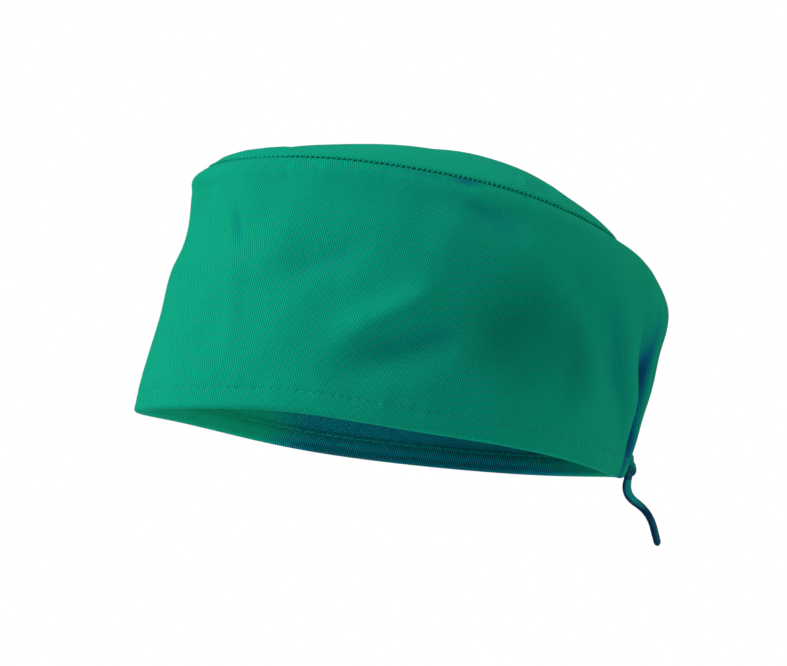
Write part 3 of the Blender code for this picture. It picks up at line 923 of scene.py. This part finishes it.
def sew(name, lines, length, gap, thread, slant, material):
    """Copies one stitch along closed lines of points, each with its normals, and joins the copies."""
    master = model_stitch(length, thread)
    shape = np.array([tuple(corner.co) for corner in master.data.vertices])
    facets = [tuple(face.vertices) for face in master.data.polygons]
    bpy.data.objects.remove(master)
    corners = []
    faces = []
    lean = math.radians(slant)
    for line, normals in lines:
        run = closed_lengths(line)
        count = round(run[-1] / (length + gap))
        middles = (np.arange(count) + 0.5) / count * run[-1]
        for middle in middles:
            ends = [read_line(line, run, middle + side * 0.25 * length) for side in (-1.0, 1.0)]
            place = read_line(line, run, middle)
            up = unit(read_line(normals, run, middle))
            forward = unit(ends[1] - ends[0])
            side = unit(np.cross(up, forward))
            forward = math.cos(lean) * forward + math.sin(lean) * side
            side = unit(np.cross(up, forward))
            axes = np.stack((forward, side, np.cross(forward, side)))
            start = len(corners)
            corners.extend((place + shape @ axes).tolist())
            faces.extend(tuple(start + index for index in facet) for facet in facets)
    piece = mesh_piece(name, corners, faces, [material])
    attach(piece, BODY)
    return piece


def read_line(line, run, place):
    """The point of a closed line at a running length."""
    whole = np.vstack((line, line[:1]))
    return np.array([np.interp(place % run[-1], run, column) for column in whole.T])


def tape_tube(name, route, across, through, flat_way, groove, shade, material, tips):
    """A folded tape swept along a route: half widths and half thicknesses at its points, the way that
    its flat side faces, the fold's groove, the shade along it and at its edge, and its ends' bulge."""
    route = np.asarray(route)
    ahead = unit(np.gradient(route, axis=0))
    out = flat_way - (flat_way * ahead).sum(axis=1, keepdims=True) * ahead
    out = unit(out)
    wide = np.cross(ahead, out)
    turns = TURN * np.arange(TAPE_SIDES) / TAPE_SIDES
    wide_share = np.sign(np.cos(turns)) * np.abs(np.cos(turns)) ** TAPE_WIDE_ROUND
    thick_share = np.sign(np.sin(turns)) * np.abs(np.sin(turns)) ** TAPE_THICK_ROUND
    run = lengths_along(route)
    dip = groove * np.exp(-(((wide_share - GROOVE_PLACE) / GROOVE_SHARE) ** 2)) * np.sign(thick_share)
    w = across[:, None] * wide_share
    t = through[:, None] * thick_share - dip * through[:, None]
    points = route[:, None, :] + w[..., None] * wide[:, None, :] + t[..., None] * out[:, None, :]
    rows, sides = points.shape[:2]
    i, j = np.mgrid[0: rows - 1, 0:sides]
    k = (j + 1) % sides
    faces = np.stack((i * sides + j, i * sides + k, (i + 1) * sides + k, (i + 1) * sides + j), axis=-1)
    faces = faces.reshape(-1, 4).tolist()
    corners = points.reshape(-1, 3).tolist()
    girth = closed_lengths(points[rows // 2])
    places = np.stack(
        (
            np.stack((girth[j], run[i]), axis=-1),
            np.stack((girth[j + 1], run[i]), axis=-1),
            np.stack((girth[j + 1], run[i + 1]), axis=-1),
            np.stack((girth[j], run[i + 1]), axis=-1),
        ),
        axis=2,
    ).reshape(-1, 2)
    for end, ring in ((0, 0), (-1, rows - 1)):
        bulge = tips[end] * ahead[end] * (1.0 if end else -1.0)
        corners.append((route[end] + bulge).tolist())
        hub = len(corners) - 1
        for a in range(sides):
            b = (a + 1) % sides
            pair = (ring * sides + a, ring * sides + b)
            faces.append([hub, *(pair if end else reversed(pair))])
            places = np.vstack((places, [(girth[a], run[ring])] * 3))
    # painted shade along the tape and at its edge
    edge = ease((wide_share - EDGE_PLACE) / EDGE_WIDTH)
    painted_shades = np.append((shade[0][:, None] + shade[1] * edge[None, :]).ravel(), (0.0, 0.0))
    piece = mesh_piece(name, corners, faces, [material], places, {"shade": painted_shades})
    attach(piece, BODY)
    return piece


def smooth_route(points, steps):
    """A smooth curve through given points."""
    stops = np.linspace(0.0, 1.0, len(points))
    shares = np.linspace(0.0, 1.0, steps + 1)
    return np.stack([along(stops, column, shares) for column in zip(*points)], axis=-1)


def collar_end():
    return nape_point(KNOT_CENTRE, KNOT_SEAT) + np.array((0.0, -COLLAR_SET_IN, -COLLAR_DROP))


def length(name, description, default, **more):
    return FloatProperty(
        name=name, description=description, default=default, unit="LENGTH", precision=5, **more
    )


def number(name, description, default):
    return FloatProperty(name=name, description=description, default=default)


def tint(name, description, default):
    return FloatVectorProperty(
        name=name, description=description, default=default, subtype="COLOR", size=3, min=0.0, max=1.0
    )


class CapCloth(bpy.types.PropertyGroup):
    """Sizes of the cloth, its stitches and its tape."""

    cloth: length("Cloth", "Thickness of the twill", 0.0008, min=0.0003, max=0.0012)
    columns: IntProperty(name="Columns", description="Steps round the cap", default=380, min=60, max=400)
    wale: length("Wale", "Pitch of the twill's wales", 0.0009, min=0.0003)
    hem_stitch: length("Hem stitch", "Length of a stitch of the hem", 0.0027, min=0.001)
    hem_gap: length("Hem stitch gap", "Cloth between two stitches of the hem", 0.0009, min=0.0001)
    seam_stitch: length("Seam stitch", "Length of a stitch of the crown seam", 0.0017, min=0.0005)
    seam_gap: length("Seam stitch gap", "Cloth between two stitches of the crown seam", 0.0005, min=0.0001)
    thread: length("Thread", "Thickness of the thread", 0.00042, min=0.0001)
    seam_cord: length("Seam thread", "Thickness of the crown seam's thread", 0.00074, min=0.0001)
    tape: length("Tape", "Width of the drawcord's folded tape", 0.0036, min=0.001)


class CapColours(bpy.types.PropertyGroup):
    """Colours of the cloth and the painted shade of its folds, its inside, the thread and the tape."""

    outside: tint("Outside", "Twill in the light", (0.003, 0.335, 0.190))
    # painted shade of the twill in its folds
    outside_painted_shade: tint("Outside, in the folds", "Twill deep in a fold", (0.002, 0.120, 0.215))
    inside: tint("Inside", "Twill inside the cap", (0.004, 0.325, 0.195))
    inside_deep: tint("Inside, in the folds", "Twill inside, out of the light", (0.003, 0.180, 0.235))
    thread: tint("Thread", "Sewing thread of the hem", (0.010, 0.420, 0.280))
    seam_thread: tint("Seam thread", "Sewing thread of the crown seam", (0.004, 0.400, 0.250))
    tape: tint("Tape", "Drawcord's tape in the light", (0.006, 0.370, 0.330))
    tape_deep: tint("Tape, in the folds", "Drawcord's tape, turned from the light", (0.001, 0.040, 0.110))


class CapStage(bpy.types.PropertyGroup):
    """The camera's place, the light and the floor."""

    azimuth: number("Azimuth", "Degrees round from the forehead", 70.0)
    elevation: number("Elevation", "Degrees above the rim's plane", -4.6)
    roll: number("Roll", "Degrees that the camera is turned", 7.0)
    distance: length("Distance", "From the rim's middle to the camera", 1.35)
    lens: number("Lens", "Focal length in mm on a 36 mm sensor", 145.12)
    aim_right: length("Aim right", "Picture's middle, right of the rim's", 0.0064)
    aim_up: length("Aim up", "Picture's middle, above the rim's", 0.0481)
    key: number("Key light", "Watts of the key light", 16.0)
    back: number("Back light", "Watts of the light behind the nape", 6.2)
    top: number("Top light", "Watts of the light above", 1.0)
    hollow: number("Light in the hollow", "Watts of light inside", 0.022)
    fill: number("Surrounding light", "Strength of the white surroundings", 0.60)
    floor_drop: length("Floor", "How far the floor lies below the rim", 0.30)


class CAP_OT_stage(bpy.types.Operator):
    """Sets the camera, the soft lights, the white surroundings and the pale floor"""

    bl_idname = "cap.stage"
    bl_label = "Stage"

    def execute(self, context):
        stage = context.scene.cap_stage
        place_camera(context.scene, stage)
        for lamp in LAMPS:
            way = direction(lamp.azimuth, lamp.elevation)
            turn = way.to_track_quat("Z", "Y")
            power = getattr(stage, lamp.name)
            add_light(lamp.name, way * LAMP_DISTANCE, turn, LAMP_SIZE, power, lamp.colour)
        turn = direction(*HOLLOW_LAMP_AIM).to_track_quat("-Z", "Y")
        glow = add_light(
            "hollow", HOLLOW_LAMP_PLACE, turn, HOLLOW_LAMP_SIZE, stage.hollow, HOLLOW_LAMP_COLOUR
        )
        glow.visible_camera = False
        surround(context.scene, stage.fill)
        bpy.ops.object.select_all(action="DESELECT")
        bpy.ops.mesh.primitive_plane_add(size=FLOOR_SIZE, location=(0.0, 0.0, -stage.floor_drop))
        floor = context.active_object
        floor.name = "floor"
        bpy.ops.object.transform_apply(location=True, rotation=False, scale=False)
        finish = Finish("floor", 0.9, 0.2)
        patches = finish.noise(FLOOR_PATCH, 2.0, finish.own_place())
        finish.colour(finish.brighten(FLOOR_COLOUR, patches * 0.04 + 0.98))
        floor.data.materials.append(finish.material)
        context.scene.view_settings.view_transform = "Standard"
        return {"FINISHED"}


def direction(azimuth, elevation):
    """The unit direction to a place round the cap: azimuth 0 is in front of the forehead."""
    a, e = math.radians(azimuth), math.radians(elevation)
    return Vector((math.sin(a) * math.cos(e), -math.cos(a) * math.cos(e), math.sin(e)))


def place_camera(scene, stage):
    """A long lens from just below the rim's plane, turned and aimed as the picture was."""
    data = bpy.data.cameras.new("camera")
    data.lens = stage.lens
    data.sensor_width = 36.0
    camera = bpy.data.objects.new("camera", data)
    scene.collection.objects.link(camera)
    back = direction(stage.azimuth, stage.elevation)
    level = Vector((0.0, 0.0, 1.0)).cross(back).normalized()
    turned = Matrix.Rotation(math.radians(stage.roll), 3, back)
    right = turned @ level
    up = back.cross(right)
    where = back * stage.distance
    aim = right * stage.aim_right + up * stage.aim_up
    back = (where - aim).normalized()
    right = up.cross(back).normalized()
    up = back.cross(right)
    basis = Matrix((right, up, back)).transposed()
    camera.matrix_world = Matrix.Translation(where) @ basis.to_4x4()
    scene.camera = camera


def add_light(name, place, turn, size, power, colour):
    """A round soft light."""
    data = bpy.data.lights.new(name, "AREA")
    data.shape = "DISK"
    data.size = size
    data.energy = power
    data.color = colour
    light = bpy.data.objects.new(name, data)
    bpy.context.scene.collection.objects.link(light)
    light.location = place
    light.rotation_mode = "QUATERNION"
    light.rotation_quaternion = turn
    return light


def surround(scene, strength):
    """White surroundings: plain white behind the cap, and a softer light on it, most of it from above."""
    world = bpy.data.worlds.new("surroundings")
    world.use_nodes = True
    world.node_tree.nodes.clear()
    nodes = Nodes(world.node_tree)
    level = nodes.parts(nodes.add("ShaderNodeTexCoord", {}, {}))[2]
    half = 0.5 * strength
    rise = nodes.add("ShaderNodeMath", {"operation": "MULTIPLY_ADD"}, {0: level, 1: half, 2: half})
    soft = nodes.add("ShaderNodeBackground", {}, {"Color": ROOM_COLOUR, "Strength": rise})
    plain = nodes.add("ShaderNodeBackground", {}, {"Color": WHITE, "Strength": 1.0})
    seen = nodes.add("ShaderNodeLightPath", {}, {})
    mix = nodes.add("ShaderNodeMixShader", {}, {0: seen, 1: soft, 2: plain})
    output = world.node_tree.nodes.new("ShaderNodeOutputWorld")
    nodes.feed(output.inputs["Surface"], mix)
    scene.world = world


class CAP_OT_tail(bpy.types.Operator):
    """Hangs the drawcord's one loose end below the knot"""

    bl_idname = "cap.tail"
    bl_label = "Loose end"

    def execute(self, context):
        cloth, colours = context.scene.cap_cloth, context.scene.cap_colours
        route = smooth_route(TAIL_ROUTE, TAIL_STEPS) + collar_end()
        run = lengths_along(route)
        share = run / run[-1]
        tip = 0.5 * cloth.tape
        past = np.clip((run - run[-1] + tip) / tip, 0.0, 1.0)
        rounded = np.sqrt(np.clip(1.0 - past**2, TAIL_TIP_LEAST, 1.0))
        places = [row.share for row in TAIL_TWISTS]
        widths = along(places, [row.width for row in TAIL_TWISTS], share)
        thick = along(places, [row.thick for row in TAIL_TWISTS], share)
        turn = np.radians(along(places, [row.turn for row in TAIL_TWISTS], share))
        facing = np.stack((np.cos(turn), -np.sin(turn), TAIL_LEAN * np.sin(turn)), axis=-1)
        # painted shade, darker down the loose end and at a fold in it
        dark = TAIL_SHADE.share * ease((share - TAIL_SHADE.place) / TAIL_SHADE.reach)
        painted_fold_shade = np.exp(-(((share - TAIL_FOLD_SHADE.place) / TAIL_FOLD_SHADE.reach) ** 2))
        dark = dark + TAIL_FOLD_SHADE.share * painted_fold_shade
        material = tape_finish("tape", colours.tape, colours.tape_deep, True)
        tail = tape_tube(
            "loose_end", route, 0.5 * cloth.tape * widths * rounded, 0.5 * cloth.tape * thick * rounded,
            facing, TAIL_GROOVE, (dark, TAIL_EDGE_SHADE), material, (0.0, TAIL_TIP),
        )
        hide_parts("drawcord_tail")
        return {"FINISHED"}


class CAP_OT_knot(bpy.types.Operator):
    """Ties the overhand knot against the nape, from its neck in the hem's slot to its collar"""

    bl_idname = "cap.knot"
    bl_label = "Knot"

    def execute(self, context):
        colours = context.scene.cap_colours
        middle = nape_point(KNOT_CENTRE, KNOT_SEAT)
        turns = np.linspace(math.pi + KNOT_OPEN, 3.0 * math.pi - KNOT_OPEN, KNOT_LOOP_POINTS)
        loops = np.stack(
            (
                KNOT_SIDE * np.sin(3.0 * turns),
                KNOT_OUT * (np.cos(turns) - 2.0 * np.cos(2.0 * turns)) + KNOT_SHIFT,
                KNOT_UP * (np.sin(turns) + 2.0 * np.sin(2.0 * turns)) + KNOT_LIFT,
            ),
            axis=-1,
        )
        loops[:, 1] -= KNOT_LEAN * np.maximum(loops[:, 2], 0.0)
        points = np.vstack((np.array(KNOT_NECK) * MM, loops * MM, np.array(KNOT_COLLAR) * MM))
        route = smooth_route(points, KNOT_STEPS) + middle
        out = (route - middle) * KNOT_FACING
        share = np.linspace(0.0, 1.0, len(route))
        free = ease((share - KNOT_FREE) / (1.0 - KNOT_FREE))[:, None]
        facing = unit(out) * (1.0 - free) + np.array((1.0, 0.0, 0.0)) * free
        narrowed = ease((share - KNOT_NARROWS) / (1.0 - KNOT_NARROWS))
        width = stretch(*KNOT_WIDTHS, narrowed) * MM
        thick = stretch(*KNOT_THICKNESSES, narrowed) * MM
        material = tape_finish("knotted_tape", colours.tape, colours.tape_deep, True)
        # painted shade, darker low on the knot
        shade = KNOT_SHADE - KNOT_SHADE * ease(out[:, 2] / KNOT_SHADE_RISE + KNOT_SHADE_START)
        knot = tape_tube(
            "knot", route, width, thick, facing, KNOT_GROOVE, (shade, KNOT_EDGE_SHADE), material, (0.0, 0.0)
        )
        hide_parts("drawcord_knot")
        return {"FINISHED"}


class CAP_OT_tape(bpy.types.Operator):
    """Gives the tape inside the hem its weave"""

    bl_idname = "cap.tape"
    bl_label = "Tape in the hem"

    def execute(self, context):
        colours = context.scene.cap_colours
        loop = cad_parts["drawcord_loop"]
        material = tape_finish("tunnel_tape", colours.tape, colours.tape_deep, False)
        for slot in loop.material_slots:
            slot.material = material
        return {"FINISHED"}


def twills(colours, cloth):
    """The two sides of the cloth, made once."""
    if "twill_outside" not in bpy.data.materials:
        pair = (colours.outside, colours.outside_painted_shade)
        twill_finish("twill_outside", *pair, cloth.wale, OUTSIDE_MARK, "shade", 0.0)
        pair = (colours.inside, colours.inside_deep)
        twill_finish("twill_inside", *pair, cloth.wale, INSIDE_MARK, "hollow", INSIDE_GLOW)
    return bpy.data.materials["twill_outside"], bpy.data.materials["twill_inside"]


def band_stops():
    """The band's section as rows of (share of height, metres beyond it, inset), and its hem's first row."""
    rows = [(1.0, stop.beyond * MM, stop.inset * MM) for stop in BAND_TOP]
    for i in range(FACE_ROWS):
        share = i / (FACE_ROWS - 1)
        rows.append((1.0 - share, stretch(-FACE_TOP, FACE_FOOT, share) * MM, FACE_INSET * MM))
    rows += [(0.0, stop.beyond * MM, stop.inset * MM) for stop in HEM_FACE]
    middle = FACE_INSET + HEM_FOLD_RADIUS
    fold = len(rows)
    for i in range(HEM_FOLD_ROWS):
        turn = math.pi * i / (HEM_FOLD_ROWS - 1)
        inset = middle - HEM_FOLD_RADIUS * math.cos(turn)
        rows.append((0.0, (middle - HEM_FOLD_RADIUS * math.sin(turn)) * MM, inset * MM))
    rows += [(0.0, stop.beyond * MM, stop.inset * MM) for stop in HEM_INSIDE]
    return rows, fold


class CAP_OT_band(bpy.types.Operator):
    """Makes the side band as one cloth, from the crown seam down and round the hem's fold"""

    bl_idname = "cap.band"
    bl_label = "Side band and hem"

    def execute(self, context):
        cloth, colours = context.scene.cap_cloth, context.scene.cap_colours
        rows, fold = band_stops()
        angles = cloth_angles(cloth.columns)
        share, beyond, inset = (np.array(column)[:, None] for column in zip(*rows))
        grid = np.broadcast_to(angles % 360.0, (len(rows), len(angles)))
        points, shade = cloth_wall(grid, share, beyond, inset)
        column = points[:, int(np.argmin(np.abs(turn_between(angles, 90.0))))]
        fall = lengths_along(column)
        round_way = np.append((arc(angles) - arc(180.0)) % GIRTH, GIRTH)
        flat = np.stack(np.broadcast_arrays(round_way[None, :], SEAM_HEIGHT - fall[:, None]), axis=-1)
        inner = range(fold + HEM_FOLD_ROWS // 2, len(rows))
        # painted shade of the inside, by the angle round the cap and stronger under the hem's fold
        under = np.isin(np.arange(len(rows)), range(fold + UNDER_FROM, fold + HEM_FOLD_ROWS + 1))
        hollow = hollow_shade(angles % 360.0)[None, :] * (1.0 + UNDER_GAIN * under[:, None])
        band = sheet_piece("band", points, flat, shade, hollow, list(inner), twills(colours, cloth))
        cut_slot(band)
        thicken(band, cloth.cloth)
        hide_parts("side_band", "hem_casing")
        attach(band, BODY)
        return {"FINISHED"}


def cut_slot(band):
    """Opens the outer ply at the nape, where the drawcord leaves the hem."""
    choose(band)
    y_behind = nape_point(KNOT_CENTRE)[1] - SLOT_DEPTH
    rim = float(rim_height(180.0))

    def in_slot(place):
        level = SLOT_LOW < place.z - rim < SLOT_HIGH
        return level and abs(place.x) < 0.5 * SLOT_WIDTH and place.y > y_behind

    bpy.ops.object.mode_set(mode="EDIT")
    bpy.ops.mesh.select_mode(type="VERT")
    pick(band, in_slot)
    bpy.ops.mesh.select_mode(type="FACE")
    bpy.ops.mesh.delete(type="FACE")
    bpy.ops.object.mode_set(mode="OBJECT")


def tucked(angle):
    """How far the crown's edge hides behind the band's roll, which it does over the forehead."""
    return ease((TUCK_REACH - np.abs(turn_between(angle, 0.0))) / TUCK_EASE)


def crown_grid(angles):
    """Points, flat places and shade of the crown, from near its middle out to the seam's raw edge."""
    rim_x, rim_y, _ = np.moveaxis(wall(angles % 360.0, np.ones_like(angles), 0.0), -1, 0)
    reach_length = np.hypot(rim_x, rim_y - DOME_CENTRE)
    apex = SEAM_HEIGHT + CROWN_LIFT + DOME_RISE
    edge = seam_height(angles) + CROWN_LIFT
    tuck = tucked(angles)
    last = 1.0 - (CROWN_EDGE + TUCK_IN * tuck) / reach_length
    share = np.linspace(0.0, 1.0, DOME_ROWS)[:, None]
    reach = stretch(DOME_HOLE, last[None, :], 1.0 - (1.0 - share) ** DOME_SPACING)
    pucker = sum(row.depth * bell(angles, row.angle, row.spread) for row in PUCKERS)
    sunk = DENT_DEPTH * pucker * np.sin(np.pi * reach) * reach
    x = rim_x * reach
    y = DOME_CENTRE * (1.0 - reach) + rim_y * reach

    def plan(turn, far):
        place = wall(np.array(float(turn)), np.array(1.0), 0.0)
        return float(place[0] * far), float(DOME_CENTRE * (1.0 - far) + place[1] * far)

    # painted shade along the crown's creases
    crease, shade = crease_field(CROWN_CREASES, x, y, plan)
    to_seam = (1.0 - reach) * reach_length
    ripple = waves(CLOTH_WAVES, x, y) * DOME_WAVES * ease(to_seam / DOME_CALM)
    puckers = waves(SEAM_WAVES, arc(angles % 360.0) + CROWN_PUCKER_SHIFT, 0.0 * reach)
    ripple = ripple + puckers * CROWN_PUCKER_GAIN * seam_pull(to_seam)
    rolled = ROLL_DROP * np.exp(-((to_seam / ROLL_REACH) ** 2))
    rolled = rolled + TUCK_DOWN * tuck * np.exp(-((to_seam / TUCK_FADE) ** 2))
    rolled = rolled - PUFF_RISE * tuck * np.exp(-((2.0 * to_seam / PUFF_PLACE - 2.0) ** 2))
    z = apex - (apex - edge) * reach**DOME_FULLNESS - sunk - crease - ripple - DOME_SINK - rolled
    dome = np.stack((x, y, z), axis=-1)
    roll = []
    for stop in CROWN_ROLL:
        below = min(stop.beyond, 0.0) * MM
        above = max(stop.beyond, 0.0) * MM
        height = 1.0 + below / (seam_height(angles) - rim_height(angles))
        place = wall(angles % 360.0, height, stop.inset * MM + TUCK_IN * tuck)
        place[:, 2] += above - TUCK_DOWN * tuck
        roll.append(place)
    points = np.concatenate((dome, np.stack(roll)))
    shade = np.concatenate((shade, np.zeros((len(roll), len(angles)))))
    flat = points[..., :2].copy()
    out = unit(points[DOME_ROWS - 1, :, :2] - np.array((0.0, DOME_CENTRE)))
    for i in range(DOME_ROWS, len(points)):
        step = np.linalg.norm(points[i] - points[i - 1], axis=-1, keepdims=True)
        flat[i] = flat[i - 1] + out * step
    top = float(apex - DOME_SINK - waves(CLOTH_WAVES, 0.0, DOME_CENTRE) * DOME_WAVES)
    return points, np.concatenate((flat, flat[:, :1]), axis=1), shade, (0.0, DOME_CENTRE, top)


class CAP_OT_crown(bpy.types.Operator):
    """Makes the oval crown, domed over the band and rolled into the seam"""

    bl_idname = "cap.crown"
    bl_label = "Crown"

    def execute(self, context):
        cloth, colours = context.scene.cap_cloth, context.scene.cap_colours
        angles = cloth_angles(cloth.columns)
        points, flat, shade, pole = crown_grid(angles)
        # painted shade of the crown's inside, by the angle round the cap
        hollow = hollow_shade(angles % 360.0)
        inner = list(range(DOME_ROWS + CROWN_INSIDE_FROM, len(points)))
        crown = sheet_piece("crown_panel", points, flat, shade, hollow, inner, twills(colours, cloth), pole)
        thicken(crown, cloth.cloth)
        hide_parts("crown")
        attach(crown, BODY)
        return {"FINISHED"}


def stitch_line(share, beyond, inset, tilt):
    """A closed line on the band for stitches, with its normals, tilt being how far they look up."""
    angles = np.linspace(0.0, 360.0, STITCH_LINE_STEPS, endpoint=False)
    points, _ = cloth_wall(angles, share, np.full_like(angles, beyond), inset)
    ahead = unit(np.roll(points, -1, axis=0) - np.roll(points, 1, axis=0))
    out = np.cross(ahead, np.array((0.0, 0.0, 1.0)))
    return points, unit(unit(out) * math.cos(tilt) + np.array((0.0, 0.0, math.sin(tilt))))


class CAP_OT_hem_stitches(bpy.types.Operator):
    """Sews the hem, outside and inside"""

    bl_idname = "cap.hem_stitches"
    bl_label = "Hem stitches"

    def execute(self, context):
        cloth, colours = context.scene.cap_cloth, context.scene.cap_colours
        outside = stitch_line(0.0, HEM_LINE, HEM_STITCH_OUT, 0.0)
        line, out = stitch_line(0.0, HEM_LINE, HEM_STITCH_IN, 0.0)
        lines = [outside, (line, -out)]
        thread = thread_finish("hem_thread", colours.thread)
        sew("hem_stitches", lines, cloth.hem_stitch, cloth.hem_gap, cloth.thread, 0.0, thread)
        return {"FINISHED"}


class CAP_OT_seam_stitches(bpy.types.Operator):
    """Sews the crown to the band"""

    bl_idname = "cap.seam_stitches"
    bl_label = "Seam stitches"

    def execute(self, context):
        cloth, colours = context.scene.cap_cloth, context.scene.cap_colours
        line = stitch_line(1.0, SEAM_STITCH_RISE, SEAM_STITCH_INSET, math.radians(SEAM_STITCH_TILT))
        size = (cloth.seam_stitch, cloth.seam_gap, cloth.seam_cord)
        thread = thread_finish("seam_thread", colours.seam_thread)
        sew("seam_stitches", [line], *size, SEAM_STITCH_SLANT, thread)
        return {"FINISHED"}


STEPS = (
    CAP_OT_stage,
    CAP_OT_tail,
    CAP_OT_knot,
    CAP_OT_tape,
    CAP_OT_band,
    CAP_OT_crown,
    CAP_OT_hem_stitches,
    CAP_OT_seam_stitches,
)
GROUPS = {"cap_cloth": CapCloth, "cap_colours": CapColours, "cap_stage": CapStage}


class CAP_PT_panel(bpy.types.Panel):
    """Lists the cap's pieces and the values that they take"""

    bl_idname = "CAP_PT_panel"
    bl_label = "Sanitary cap"
    bl_space_type = "VIEW_3D"
    bl_region_type = "UI"
    bl_category = "Cap"

    def draw(self, context):
        for step in STEPS:
            self.layout.operator(step.bl_idname)
        for name, group in GROUPS.items():
            box = self.layout.box()
            for value in group.__annotations__:
                box.prop(getattr(context.scene, name), value)


def register():
    for name, group in GROUPS.items():
        bpy.utils.register_class(group)
        setattr(bpy.types.Scene, name, PointerProperty(type=group))
    for step in STEPS:
        bpy.utils.register_class(step)
    bpy.utils.register_class(CAP_PT_panel)


def unregister():
    bpy.utils.unregister_class(CAP_PT_panel)
    for step in reversed(STEPS):
        bpy.utils.unregister_class(step)
    for name, group in GROUPS.items():
        delattr(bpy.types.Scene, name)
        bpy.utils.unregister_class(group)


def main():
    register()
    bpy.ops.cap.stage()
    bpy.ops.cap.tail()
    bpy.ops.cap.knot()
    bpy.ops.cap.tape()
    bpy.ops.cap.band()
    bpy.ops.cap.crown()
    bpy.ops.cap.hem_stitches()
    bpy.ops.cap.seam_stitches()


if __name__ == "__main__":
    main()
